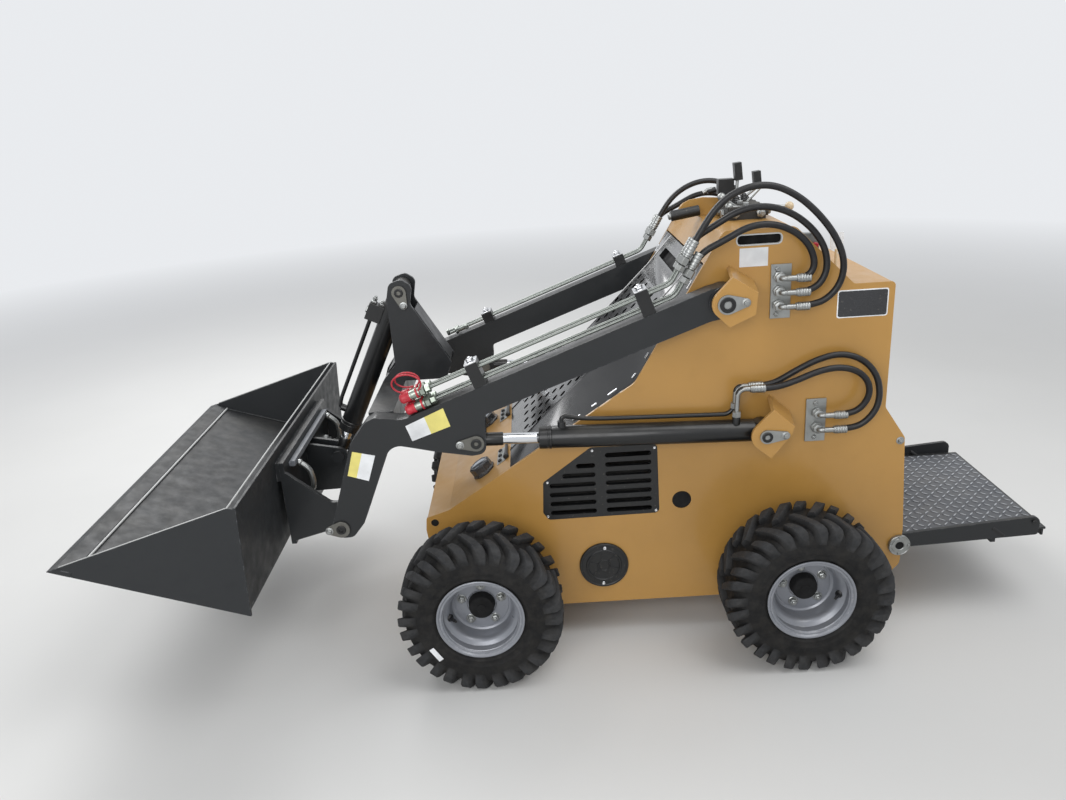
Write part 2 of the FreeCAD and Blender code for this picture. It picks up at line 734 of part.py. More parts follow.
def tilt_tower():
    """Two plates on the cross tube that carry the tilt cylinder, with a rear web."""
    top = KNEE[1] + KNEE_TUBE + SEAT
    front = KNEE[0] + KNEE_TUBE
    cheek = [
        (TILT_BASE[0] + 38, TILT_BASE[1] - 18, 12), (TILT_BASE[0] + 28, 1042, 20),
        (TILT_BASE[0] - 8, 1054, 20), (TILT_BASE[0] - 38, 1034, 20),
        (604, 980, 20), (500, 800, 10), (520, top, 0), (front, top, 0), (667, 800, 20)]
    y0, y1 = TOWER_IN, TOWER_IN + TOWER_T
    side = plate(cheek, y0, y1)
    web = bent_sheet([(600, 960), (512, 808), (524, top + 6)], 8, -y0 - 1, y0 + 1)
    tower = fuse([side, mirrored(side), web])
    tower = tower.cut(disc(TILT_BASE, TILT_PIN_R + FIT, -y1 - 1, y1 + 1))
    save("tilt_tower", tower)
    pin = disc(TILT_BASE, TILT_PIN_R, -y1 - 4, y1 + SEAT + KEEPER_T + 2)
    keeper = teardrop(TILT_BASE, TILT_PIN_R + 8, TILT_PIN_BOLT, KEEPER_END_R, y1 + SEAT,
                      y1 + SEAT + KEEPER_T)
    save("tilt_pin", pin.fuse(keeper))


# Hard lines and hoses

ARM_TOP = ((-196.0, 1039.0), (610.0, 742.0))     # top face of an arm, rear and front
CLAMPS = (-46.0, 398.0)                          # stations of the line clamps
LINE_REAR = -118.0
LINE_FRONT = 528.0


def arm_top(x, above=0.0):
    """Point over the arm's top face, at a station and a height square to the face."""
    (x0, z0), (x1, z1) = ARM_TOP
    run = hypot(x1 - x0, z1 - z0)
    ux, uz = (x1 - x0) / run, (z1 - z0) / run
    z = z0 + (x - x0) * uz / ux
    return (x - uz * above, z + ux * above)


LINE_RISE = (0.5, 0.866)     # direction of a tube's rear end, backwards and up
LINE_RISE_LEN = 60.0


def line_rear(above):
    """Rear end of a tube that runs at a height above an arm's top face."""
    x, z = arm_top(LINE_REAR, above)
    return (x - LINE_RISE_LEN * LINE_RISE[0], z + LINE_RISE_LEN * LINE_RISE[1])


CLAMP_HALF = 17.0        # half a clamp's length along the arm
CLAMP_NUT_R = 8.0
CLAMP_NUT_H = 10.0
# Sides of the machine and the tiers of tubes that the arm there carries
LINE_SIDES = ((1, LINE_TIERS), (-1, LINE_TIERS[:1]))


def line_clamp(x, way, tiers):
    """Plastic clamp with a nut on top, bored for the tubes of its arm."""
    half_w = ARM_W / 2
    height = tiers[-1] + LINE_TIERS[0]
    body = box((-CLAMP_HALF, CLAMP_HALF), (-half_w, half_w), (SEAT, height))
    nut = rod((0, 0, height - 1), (0, 0, height + CLAMP_NUT_H), CLAMP_NUT_R)
    bores = []
    for above in tiers:
        for offset in LINE_OFFSETS:
            reach = CLAMP_HALF + 1
            bores.append(rod((-reach, offset, above), (reach, offset, above), LINE_R + FIT))
    body = body.fuse(nut).cut(Part.makeCompound(bores))
    slope = degrees(atan2(ARM_TOP[0][1] - ARM_TOP[1][1], ARM_TOP[1][0] - ARM_TOP[0][0]))
    body.rotate(V(0, 0, 0), V(0, 1, 0), slope)
    seat = arm_top(x)
    body.translate(V(seat[0], way * ARM_Y, seat[1]))
    return body


def boom_lines():
    """Zinc-plated tubes along the arms: two tiers on the left one, one on the right."""
    tubes, clamps = [], []
    for way, tiers in LINE_SIDES:
        for above in tiers:
            for offset in LINE_OFFSETS:
                y = way * (ARM_Y + offset)
                rear, front = arm_top(LINE_REAR, above), arm_top(LINE_FRONT, above)
                rise = line_rear(above)
                points = [(rise[0], y, rise[1]), (rear[0], y, rear[1]), (front[0], y, front[1])]
                tubes.append(line_tube(points))
        for x in CLAMPS:
            clamps.append(line_clamp(x, way, tiers))
    save("boom_lines", Part.makeCompound(tubes))
    save("line_clamps", Part.makeCompound(clamps))


def line_tube(points, bend=30.0):
    """Tube with one bend of a set radius between its three points."""
    start, corner, end = (V(*p) for p in points)
    u = (corner - start).normalize()
    v = (end - corner).normalize()
    turn = u.getAngle(v)
    cut = bend * tan(turn / 2)
    first, last = corner - u * cut, corner + v * cut
    middle = corner + (v - u).normalize() * (bend / cos(turn / 2) - bend)
    edges = [Part.LineSegment(start, first).toShape(), Part.Arc(first, middle, last).toShape(),
             Part.LineSegment(last, end).toShape()]
    ring = Part.Wire(Part.Circle(start, corner - start, LINE_R).toShape())
    return Part.Wire(edges).makePipeShell([ring], True, False)


def couplers():
    """Quick couplers at the front of the left lines, with their dust caps."""
    solids = []
    (x0, z0), (x1, z1) = ARM_TOP
    run = hypot(x1 - x0, z1 - z0)
    ux, uz = (x1 - x0) / run, (z1 - z0) / run
    for above in LINE_TIERS:
        x, z = arm_top(LINE_FRONT, above)
        for offset in LINE_OFFSETS:
            y = ARM_Y + offset
            start = (x + SEAT * ux, y, z + SEAT * uz)
            mid = (x + 46 * ux, y, z + 46 * uz)
            end = (x + 74 * ux, y, z + 74 * uz)
            solids.append(rod(start, mid, 12).fuse(rod(mid, end, 13.5)))
    save("couplers", Part.makeCompound(solids))


HOSE_R = 8.5
# Rear end of the lift barrel's two elbows: along the barrel, square to it, and to each side
PIPE_END = (38.0, 122.0)
PIPE_SHIFT = 12.0
BOOM_HOSE_X = BULKHEADS[0][2] - FITTING_LEN - SEAT
LIFT_HOSE_X = BULKHEADS[1][2] - FITTING_LEN - SEAT
# Routes of the hoses behind their elbows on the left side, as (x, y, z)
BOOM_HOSES = [
    [(BOOM_HOSE_X, 334, 976), (-455, 334, 976), (-500, 338, 990), (-532, 342, 1030),
     (-538, 346, 1085), (-515, 350, 1145), (-470, 352, 1205), (-412, 352, 1258),
     (-345, 352, 1290), (-275, 352, 1284), (-215, 351, 1248)],
    [(BOOM_HOSE_X, 334, 1013), (-448, 334, 1013), (-484, 334, 1032), (-500, 334, 1072),
     (-490, 334, 1125), (-455, 334, 1175), (-402, 332, 1216), (-340, 330, 1236),
     (-275, 326, 1228), (-214, 321, 1192)],
    [(BOOM_HOSE_X, 334, 1050), (-440, 334, 1050), (-462, 334, 1068), (-462, 336, 1100),
     (-444, 340, 1140), (-404, 344, 1174), (-350, 348, 1194), (-292, 349, 1190),
     (-236, 349, 1160)],
]
# Columns: side, route, height of the tube above the arm, its place across the arm
BOOM_HOSE_TUBES = [
    (1, 0, LINE_TIERS[1], LINE_OFFSETS[1]),
    (1, 1, LINE_TIERS[1], LINE_OFFSETS[0]),
    (1, 2, LINE_TIERS[0], LINE_OFFSETS[1]),
    (-1, 1, LINE_TIERS[0], LINE_OFFSETS[0]),
    (-1, 2, LINE_TIERS[0], LINE_OFFSETS[1]),
]
LIFT_HOSES = [
    [(LIFT_HOSE_X, 334, 670), (-566, 334, 670), (-604, 340, 684), (-626, 346, 724),
     (-618, 350, 768), (-584, 352, 800), (-536, 352, 812), (-480, 351, 802), (-420, 348, 776)],
    [(LIFT_HOSE_X, 334, 628), (-570, 334, 628), (-614, 340, 640), (-648, 342, 680),
     (-656, 340, 728), (-644, 334, 782), (-604, 328, 824), (-548, 324, 840), (-488, 323, 826),
     (-428, 323, 796)],
]


def hoses():
    """Hoses from the bulkheads to the tubes on the arms and to the lift barrels."""
    boom = []
    for way, route, above, offset in BOOM_HOSE_TUBES:
        x, z = line_rear(above)
        y = ARM_Y + offset
        end = (x - SEAT * LINE_RISE[0], y, z + SEAT * LINE_RISE[1])
        before = (x - 40 * LINE_RISE[0], y, z + 40 * LINE_RISE[1])
        hose = pipe(BOOM_HOSES[route] + [before, end], HOSE_R)
        boom.append(hose if way > 0 else mirrored(hose))
    save("boom_hoses", Part.makeCompound(boom))
    lift = []
    for route, shift in zip(LIFT_HOSES, (PIPE_SHIFT, -PIPE_SHIFT)):
        along, square = PIPE_END
        tail = [on_line(LIFT_BASE, LIFT_EYE, along - back, square) for back in (50, SEAT)]
        lift.append(pipe(route + [(x, ARM_Y + shift, z) for x, z in tail], HOSE_R))
    save("lift_hoses", both_sides(Part.makeCompound(lift)))


# Cylinders

PORT_AT = 74.0           # distance of a barrel's rear port from its base pin
PORT_R = 11.0
LINE_GAP = 17.0          # air between the tilt barrel and the steel line beside it
PORT_BLOCK = ((70.0, 120.0), (25.0, 70.0))   # the tilt barrel's port block: along, square


def on_line(start, end, along, square=0.0):
    """Point at a distance from start towards end, and square to that line."""
    run = hypot(end[0] - start[0], end[1] - start[1])
    ux, uz = (end[0] - start[0]) / run, (end[1] - start[1]) / run
    return (start[0] + ux * along - uz * square, start[1] + uz * along + ux * square)


def cylinder(name, side, base, eye, y, size):
    """Barrel with its base eye, gland and ports, and the rod with its eye."""
    barrel_r, barrel_end, rod_r, pin_r, lug_half, stroke, socket = size
    def at(along, square=0.0, shift=0.0):
        x, z = on_line(base, eye, along, square)
        return (x, y + shift, z)
    length = hypot(eye[0] - base[0], eye[1] - base[1])
    base_r = pin_r + BASE_LUG
    front = barrel_end - 2 * barrel_r
    way = 1 if y >= 0 else -1
    shift = way * PIPE_SHIFT if name == "lift" else 0.0
    tube = rod(at(base_r - 4), at(barrel_end - 36), barrel_r)
    gland = rod(at(barrel_end - 38), at(barrel_end), barrel_r - 1)
    lug = disc(base, base_r, y - lug_half, y + lug_half)
    ports = []
    for along, across in ((PORT_AT, shift), (front, 0.0)):
        foot, head = at(along, barrel_r - 7, across), at(along, barrel_r + 14, across)
        ports.append(rod(foot, head, PORT_R))
    barrel = fuse([tube, gland, lug] + ports)
    hollow = rod(at(base_r + 16), at(barrel_end - 30), rod_r + 6)
    throat = rod(at(barrel_end - 40), at(barrel_end + 1), rod_r + FIT)
    pin_bore = disc(base, pin_r + FIT, y - lug_half - 1, y + lug_half + 1)
    barrel = barrel.cut(Part.makeCompound([hollow, throat, pin_bore]))
    if name == "lift":
        back, top = PIPE_END
        along_top = barrel_r + LINE_R + 7
        riser = pipe([at(PORT_AT, barrel_r + 2, shift), at(PORT_AT, top, shift),
                      at(back, top, shift)], LINE_R)
        line = pipe([at(front, barrel_r + 2), at(front, barrel_r + 30),
                     at(front - 50, along_top + 3, -shift), at(front - 110, along_top, -shift),
                     at(PORT_AT, along_top, -shift), at(PORT_AT, top, -shift),
                     at(back, top, -shift)], LINE_R, 0.4)
        barrel = fuse([barrel, riser, line])
    else:
        away = barrel_r + LINE_GAP + LINE_R
        (near, far), (low, high) = PORT_BLOCK
        corners = [at(near, low), at(far, low), at(far, high), at(near, high)]
        block = plate([(px, pz, 0) for px, py, pz in corners], -SLOT_HALF, SLOT_HALF)
        line = pipe([at(far - 4, away), at(front - 24, away), at(front, away - 6),
                     at(front, barrel_r + 4)], LINE_R)
        barrel = fuse([barrel, block, line])
    save(name + "_barrel" + side, barrel)
    eye_r = pin_r + EYE_WALL
    eye_half = SLOT_HALF - 1
    shaft = rod(at(barrel_end - stroke - 60), at(length - eye_r + 6), rod_r)
    neck = rod(at(length - eye_r - socket), at(length - eye_r + 8), eye_half - 2)
    ring = disc(eye, eye_r, y - eye_half, y + eye_half)
    body = fuse([shaft, neck, ring])
    body = body.cut(disc(eye, pin_r + FIT, y - eye_half - 1, y + eye_half + 1))
    save(name + "_rod" + side, body)


def cylinders():
    lift = (LIFT_BARREL_R, LIFT_BARREL_END, LIFT_ROD_R, LIFT_PIN_R, 26.0, LIFT_STROKE, 46.0)
    tilt = (TILT_BARREL_R, TILT_BARREL_END, TILT_ROD_R, TILT_PIN_R, TOWER_IN - 6, TILT_STROKE,
            30.0)
    for side, way in (("_left", 1), ("_right", -1)):
        cylinder("lift", side, LIFT_BASE, LIFT_EYE, way * ARM_Y, lift)
    cylinder("tilt", "", TILT_BASE, TILT_EYE, 0.0, tilt)


# Bucket and its coupler

COUPLER_HALF = 268.0
COUPLER_X = (976.0, 990.0)
COUPLER_Z = (345.0, 600.0)
EAR_T = 14.0


def quick_attach():
    """Coupler frame behind the bucket: plate, side ears, pivot shaft and rod ears."""
    x0, x1 = COUPLER_X
    z0, z1 = COUPLER_Z
    face = box((x0, x1), (-COUPLER_HALF, COUPLER_HALF), (z0, z1))
    pieces = [face]
    for y0 in (-COUPLER_HALF, COUPLER_HALF - EAR_T):
        pieces.append(plate([
            (x0 + 1, z0 + 10, 0), (x0 + 1, z1 - 30, 0), (860, 470, 20),
            (BUCKET_PIN[0] - 10, BUCKET_PIN[1] + 36, 26), (BUCKET_PIN[0] - 38, BUCKET_PIN[1], 26),
            (BUCKET_PIN[0] - 6, BUCKET_PIN[1] - 36, 26), (880, 380, 20)], y0, y0 + EAR_T))
    half = SLOT_HALF
    for way in (-1, 1):
        y0, y1 = sorted((way * half, way * (ARM_IN - GAP)))
        pieces.append(disc(BUCKET_PIN, 26, y0, y1))
        y0, y1 = sorted((way * (ARM_IN - GAP - 2), way * ARM_OUT))
        pieces.append(disc(BUCKET_PIN, BUCKET_PIN_R, y0, y1))
        y0, y1 = sorted((way * (half + 11), way * (half + 20)))
        pieces.append(disc(TILT_EYE, TILT_PIN_R + 6, y0, y1))
    for y0 in (-half - 12, half):
        pieces.append(plate([
            (x0 + 1, 400, 0), (x0 + 1, 560, 0), (TILT_EYE[0] + 10, TILT_EYE[1] + 30, 20),
            (TILT_EYE[0] - 28, TILT_EYE[1] + 22, 20), (TILT_EYE[0] - 28, TILT_EYE[1] - 20, 20),
            (BUCKET_PIN[0] - 10, BUCKET_PIN[1] - 8, 12), (BUCKET_PIN[0] + 10, 404, 12)],
            y0, y0 + 12))
    frame = fuse(pieces)
    room = disc(TILT_EYE, TILT_PIN_R + EYE_WALL + EYE_DRIFT, -half, half)
    frame = frame.cut(room.cut(box((x0 - 4, x1 + 60), (-40, 40), (300, 700))))
    save("quick_attach", frame)


LEVER_R = 8.0


def attach_levers():
    """Two bent rod handles that turn the locking pins of the coupler."""
    solids = []
    for y in (190.0, -190.0):
        x = COUPLER_X[0] - 14
        points = [(x, y, 470), (x, y, 560), (x - 14, y, 640), (x - 60, y, 684)]
        handle = pipe(points, LEVER_R)
        foot = rod((COUPLER_X[0] - SEAT, y, 482), (x - 12, y, 482), 17)
        solids.append(handle.fuse(foot))
    save("attach_levers", Part.makeCompound(solids))


def bucket():
    """Open bucket: floor and back in one bent plate, two sides and a cutting edge."""
    heel_to_tip = hypot(BUCKET_TIP[0] - BUCKET_HEEL[0], BUCKET_TIP[1] - BUCKET_HEEL[1])
    ux = (BUCKET_TIP[0] - BUCKET_HEEL[0]) / heel_to_tip
    uz = (BUCKET_TIP[1] - BUCKET_HEEL[1]) / heel_to_tip
    edge_start = on_line(BUCKET_HEEL, BUCKET_TIP, heel_to_tip - EDGE_W)
    top_lip = (BUCKET_TOP[0] + 22, BUCKET_TOP[1] + 6)
    shell_line = [top_lip, BUCKET_TOP, BUCKET_HEEL, edge_start]
    shell = bent_sheet(shell_line, -BUCKET_T, -BUCKET_HALF + 1, BUCKET_HALF - 1)
    side_outline = [
        (BUCKET_HEEL[0], BUCKET_HEEL[1], 0), (edge_start[0], edge_start[1], 0),
        (edge_start[0] - 30 * uz, edge_start[1] + 30 * ux, 10), (top_lip[0], top_lip[1], 0),
        (BUCKET_TOP[0], BUCKET_TOP[1], 0)]
    pieces = [shell]
    for y0 in (-BUCKET_HALF, BUCKET_HALF - BUCKET_T):
        pieces.append(plate(side_outline, y0, y0 + BUCKET_T))
    strip_x = COUPLER_X[1] + SEAT
    strip = box((strip_x, BUCKET_TOP[0] + 6), (-260, 260), (540, 596))
    pieces.append(strip)
    save("bucket", fuse(pieces))
    a = (edge_start[0] + ux * SEAT, edge_start[1] + uz * SEAT)
    edge = plate([
        (a[0], a[1], 0), (BUCKET_TIP[0], BUCKET_TIP[1], 0),
        (BUCKET_TIP[0] - 20 * ux - EDGE_T * uz, BUCKET_TIP[1] - 20 * uz + EDGE_T * ux, 0),
        (a[0] - EDGE_T * uz, a[1] + EDGE_T * ux, 0)], -BUCKET_HALF, BUCKET_HALF)
    save("cutting_edge", edge)


# Platform

def platform():
    """Fold-up platform for the operator's feet: side bars, deck and hinge discs."""
    px, pz = PLATFORM_PIN
    bars = []
    for way in (-1, 1):
        y0, y1 = sorted((way * (PLATFORM_HALF - BAR_T), way * PLATFORM_HALF))
        bars.append(plate([
            (px + 22, pz - 22, 20), (px + 22, pz + 22, 20), (px - 20, pz + 24, 12),
            (PLATFORM_REAR + 26, 299, 20), (PLATFORM_REAR + 26, DECK_Z[0] - 10, 10),
            (px - 20, pz - 20, 12)], y0, y1))
    deck_half = PLATFORM_HALF - BAR_T + 1
    lip_half = PLATFORM_HALF - 20
    low = DECK_Z[0] + 2
    deck = box((PLATFORM_REAR, px - 34), (-deck_half, deck_half), DECK_Z)
    lip = box((PLATFORM_REAR, PLATFORM_REAR + BAR_T / 2), (-lip_half, lip_half),
              (DECK_Z[1] - DECK_LIP_H, low))
    leg_x = PLATFORM_REAR + LEG_BEHIND
    leg = box((leg_x, leg_x + LEG_SIZE[0]), (LEG_Y, LEG_Y + LEG_SIZE[1]),
              (DECK_Z[0] - LEG_SIZE[2], low))
    frame = fuse(bars + [deck, lip, leg, mirrored(leg)])
    frame = frame.cut(disc(PLATFORM_PIN, PLATFORM_PIN_R + FIT, -400, 400))
    save("platform", frame)
    pins = []
    for way in (-1, 1):
        y0, y1 = sorted((way * (PLATFORM_HALF - BAR_T - 4), way * (PANEL_OUT + 6)))
        pin = disc(PLATFORM_PIN, PLATFORM_PIN_R, y0, y1)
        y0, y1 = sorted((way * (PANEL_OUT + SEAT), way * (PANEL_OUT + 9)))
        pins.append(pin.fuse(disc(PLATFORM_PIN, 30, y0, y1)))
    save("platform_hinges", Part.makeCompound(pins))


wheels()
axle_housings()
side_panels()
vents()
access_caps()
chassis_sheets()
engine_block()
head_lamps()
brackets()
pivot_pins()
hose_bulkheads()
controls()
boom()
tilt_tower()
boom_lines()
couplers()
hoses()
cylinders()
quick_attach()
attach_levers()
bucket()
platform()
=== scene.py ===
"""Looks of the compact stand-on skid steer loader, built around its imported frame."""
import json
from math import acos, atan2, cos, pi, radians, sin

import bmesh
import bpy
from mathutils import Matrix, Vector, noise


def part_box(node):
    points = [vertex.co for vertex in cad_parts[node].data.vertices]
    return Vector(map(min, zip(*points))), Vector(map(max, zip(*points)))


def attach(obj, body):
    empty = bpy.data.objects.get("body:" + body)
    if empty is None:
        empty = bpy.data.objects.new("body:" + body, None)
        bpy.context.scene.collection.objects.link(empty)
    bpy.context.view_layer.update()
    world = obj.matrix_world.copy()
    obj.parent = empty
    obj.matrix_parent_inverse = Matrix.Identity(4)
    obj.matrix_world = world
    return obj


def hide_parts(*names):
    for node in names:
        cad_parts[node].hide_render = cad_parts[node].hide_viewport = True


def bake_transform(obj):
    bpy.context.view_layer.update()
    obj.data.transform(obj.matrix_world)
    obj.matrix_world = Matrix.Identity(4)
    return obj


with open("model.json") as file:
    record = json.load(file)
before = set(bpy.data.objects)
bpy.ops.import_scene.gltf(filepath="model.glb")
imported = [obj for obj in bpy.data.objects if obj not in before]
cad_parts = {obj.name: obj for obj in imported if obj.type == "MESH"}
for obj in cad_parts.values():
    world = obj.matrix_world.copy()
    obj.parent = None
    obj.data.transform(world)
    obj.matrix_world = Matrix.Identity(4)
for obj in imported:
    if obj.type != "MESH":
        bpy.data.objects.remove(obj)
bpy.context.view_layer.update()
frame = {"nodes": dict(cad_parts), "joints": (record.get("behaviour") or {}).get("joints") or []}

# Shapes are drawn in millimetres. X = 0 is the middle of the wheelbase and Z = 0 the ground.
MM = 0.001
JOINT = {j["name"]: Vector(j["pos_m"]) for j in frame["joints"] if "pos_m" in j}
MIDDLE = (JOINT["wheel_front_left_spin"].x + JOINT["wheel_rear_left_spin"].x) / 2
STATION = Matrix.Translation((MIDDLE, 0, 0)) @ Matrix.Scale(MM, 4)


def pin(joint):
    """(x, z) of a joint in millimetres at the stations."""
    return ((JOINT[joint].x - MIDDLE) / MM, JOINT[joint].z / MM)


BOOM_PIN = pin("boom_lift")
LIFT_BASE = pin("lift_swing_left")
TILT_BASE = pin("tilt_swing")
BUCKET_PIN = pin("bucket_tilt")
PLATFORM_PIN = pin("platform_fold")


def node_box(node):
    """Lowest and highest corner of a node, in millimetres at the stations."""
    lo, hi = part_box(node)
    shift = Vector((MIDDLE, 0, 0))
    return (lo - shift) / MM, (hi - shift) / MM


def wheel_centre(end, hand):
    """Centre of a wheel, in millimetres at the stations."""
    spot = JOINT["wheel_%s_%s_spin" % (end, hand)]
    return (spot - Vector((MIDDLE, 0, 0))) / MM


# Colours and surfaces


def srgb(red, green, blue):
    """Linear colour of a screen colour given as 0 to 255."""
    def linear(value):
        share = value / 255
        return share / 12.92 if share <= 0.04045 else ((share + 0.055) / 1.055) ** 2.4
    return (linear(red), linear(green), linear(blue), 1)


def scaled(colour, by):
    """Darker or lighter copy of a colour."""
    return tuple(min(1, c * by) for c in colour[:3]) + (1,)


class Tree:
    """Node tree of a material or a world, put together by short calls."""

    def __init__(self, owner):
        owner.use_nodes = True
        self.tree = owner.node_tree

    def feed(self, socket, value):
        """Puts a number, a colour or another node's output into a socket."""
        if isinstance(value, bpy.types.NodeSocket):
            self.tree.links.new(value, socket)
        else:
            socket.default_value = value

    def node(self, kind, inputs=None, **values):
        """New node with its properties and its inputs set."""
        made = self.tree.nodes.new("ShaderNode" + kind)
        for key, value in values.items():
            setattr(made, key, value)
        for key, value in (inputs or {}).items():
            self.feed(made.inputs[key], value)
        return made

    def remap(self, value, low, high, to_low, to_high):
        made = self.node("MapRange", {"Value": value, "From Min": low, "From Max": high,
                                      "To Min": to_low, "To Max": to_high})
        return made.outputs["Result"]

    def math(self, kind, a, b):
        return self.node("Math", {0: a, 1: b}, operation=kind).outputs[0]

    def dot(self, a, b):
        return self.node("VectorMath", {0: a, 1: b}, operation="DOT_PRODUCT").outputs["Value"]


class Recipe(Tree):
    """Surface of one material."""

    def __init__(self, name):
        self.material = bpy.data.materials.new(name)
        super().__init__(self.material)
        self.shader = self.tree.nodes["Principled BSDF"]
        places = self.node("TexCoord")
        self.place = places.outputs["Object"]
        self.normal = places.outputs["Normal"]

    def noise(self, scale, detail=4.0, rough=0.55):
        made = self.node("TexNoise", {"Vector": self.place, "Scale": scale, "Detail": detail,
                                      "Roughness": rough})
        return made.outputs["Fac"]

    def cells(self, scale):
        made = self.node("TexVoronoi", {"Vector": self.place, "Scale": scale},
                         feature="DISTANCE_TO_EDGE")
        return made.outputs["Distance"]

    def blend(self, share, first, second):
        return self.node("Mix", {0: share, 6: first, 7: second}, data_type="RGBA").outputs[2]

    def edges(self, width):
        """0 on flat faces, rising on edges that the bevel rounds."""
        soft = self.node("Bevel", {"Radius": width}, samples=4).outputs["Normal"]
        true = self.node("NewGeometry").outputs["Normal"]
        return self.remap(self.dot(soft, true), 0.995, 0.86, 0.0, 1.0)

    def bump(self, height, strength, distance, below=None):
        made = self.node("Bump", {"Height": height, "Strength": strength, "Distance": distance})
        if below is not None:
            self.feed(made.inputs["Normal"], below)
        return made.outputs["Normal"]

    def finish(self, colour, roughness, normal, metallic=0.0, coat=0.0, specular=0.5):
        for key, value in (("Base Color", colour), ("Roughness", roughness), ("Normal", normal),
                           ("Metallic", metallic), ("Coat Weight", coat),
                           ("Coat Roughness", 0.12), ("Specular IOR Level", specular)):
            self.feed(self.shader.inputs[key], value)
        return self.material


DUST = srgb(142, 136, 125)


def painted(name, colour, rough=0.36, coat=0.25, wear=0.35, dust=0.25, peel=0.06,
            metallic=0.0, worn_to=None, specular=0.5):
    """Sprayed steel: cloudy tone, orange peel, scuffed edges, dust that lies on top."""
    r = Recipe(name)
    cloud = r.noise(2.3, 5)
    mottle = r.noise(14, 6, 0.6)
    tone = r.blend(r.remap(cloud, 0.3, 0.7, 0.0, 1.0), scaled(colour, 0.90), scaled(colour, 1.08))
    tone = r.blend(r.remap(mottle, 0.55, 0.75, 0.0, 0.22), tone, scaled(colour, 0.78))
    chips = r.remap(r.noise(55, 5, 0.7), 0.50, 0.62, 0.0, 1.0)
    edge = r.math("MULTIPLY", r.edges(0.0035), chips)
    tone = r.blend(r.math("MULTIPLY", edge, wear), tone, worn_to or scaled(colour, 1.9))
    settled = r.remap(r.dot(r.normal, (0.0, 0.0, 1.0)), 0.25, 1.0, 0.0, 1.0)
    patches = r.remap(r.noise(9, 6, 0.65), 0.42, 0.70, 0.15, 1.0)
    dusty = r.math("MULTIPLY", r.math("MULTIPLY", settled, patches), dust)
    tone = r.blend(dusty, tone, DUST)
    gloss = r.remap(r.noise(26, 5), 0.3, 0.7, rough * 0.8, rough * 1.25)
    gloss = r.math("ADD", gloss, r.math("MULTIPLY", dusty, 0.5))
    skin = r.bump(r.noise(330, 2), peel, 0.0006)
    skin = r.bump(r.noise(18, 3), 0.05, 0.003, skin)
    return r.finish(tone, gloss, skin, metallic, coat, specular)


def bare_metal(name, colour, rough=0.3, metallic=1.0, stain=0.35, dark=None):
    """Plated or bright steel: blotches, pale specks and fine scratches."""
    r = Recipe(name)
    shade = dark or scaled(colour, 0.55)
    tone = r.blend(r.remap(r.noise(21, 6, 0.65), 0.42, 0.75, 0.0, stain), colour, shade)
    tone = r.blend(r.remap(r.noise(70, 4, 0.6), 0.5, 0.8, 0.0, 0.15), tone, scaled(colour, 1.2))
    gloss = r.remap(r.noise(45, 5), 0.3, 0.7, rough * 0.8, rough * 1.3)
    skin = r.bump(r.noise(160, 3, 0.6), 0.03, 0.0004)
    return r.finish(tone, gloss, skin, metallic)


def rubber(name, colour, rough, dust, grain=260, fine=0.25):
    """Black rubber with a fine skin, greyed where it is scuffed."""
    r = Recipe(name)
    bloom = r.noise(7, 6, 0.65)
    tone = r.blend(r.remap(bloom, 0.35, 0.7, 0.0, 1.0), scaled(colour, 0.75), scaled(colour, 1.5))
    scuff = r.remap(r.noise(60, 7, 0.7), 0.48, 0.70, 0.0, 1.0)
    tone = r.blend(r.math("MULTIPLY", scuff, dust), tone, DUST)
    gloss = r.remap(r.noise(32, 5), 0.3, 0.7, rough * 0.85, min(1.0, rough * 1.2))
    skin = r.bump(r.noise(grain, 4, 0.6), fine, 0.0008)
    return r.finish(tone, gloss, skin, 0.0, 0.0, 0.4)


def tyre_skin():
    """Tyre rubber: dark walls, tread bars lighter on top as a painted highlight, and dry soil on the
    bars and between them.
    """
    r = Recipe("tyre_skin")
    base = srgb(17, 17, 18)
    bloom = r.noise(6, 6, 0.65)
    tone = r.blend(r.remap(bloom, 0.35, 0.7, 0.0, 1.0), scaled(base, 0.7), scaled(base, 1.5))
    # The colour attribute is 0 on the walls and 1 on top of the bars
    height = r.node("Attribute", attribute_name="bar").outputs["Fac"]
    soil = r.remap(r.noise(34, 7, 0.7), 0.40, 0.68, 0.0, 1.0)
    # Tops of the bars painted lighter: a painted highlight where light falls on them
    bar_top_highlight = r.math("MULTIPLY", height, r.remap(r.noise(90, 5), 0.3, 0.7, 0.45, 0.85))
    tone = r.blend(bar_top_highlight, tone, srgb(56, 57, 59))
    tone = r.blend(r.math("MULTIPLY", soil, 0.05), tone, DUST)
    gloss = r.remap(r.noise(32, 5), 0.3, 0.7, 0.58, 0.82)
    skin = r.bump(r.noise(240, 4, 0.6), 0.22, 0.0009)
    return r.finish(tone, gloss, skin, 0.0, 0.0, 0.25)


def moulded(name, colour, rough=0.45, coat=0.0, speck=0.3):
    """Moulded plastic with a leathery grain."""
    r = Recipe(name)
    tone = r.blend(r.remap(r.noise(11, 5), 0.3, 0.7, 0.0, 1.0), scaled(colour, 0.8),
                   scaled(colour, 1.2))
    tone = r.blend(r.remap(r.noise(120, 4), 0.62, 0.75, 0.0, speck), tone, DUST)
    gloss = r.remap(r.noise(40, 4), 0.3, 0.7, rough * 0.8, rough * 1.3)
    skin = r.bump(r.cells(520), 0.12, 0.0004)
    return r.finish(tone, gloss, skin, 0.0, coat)


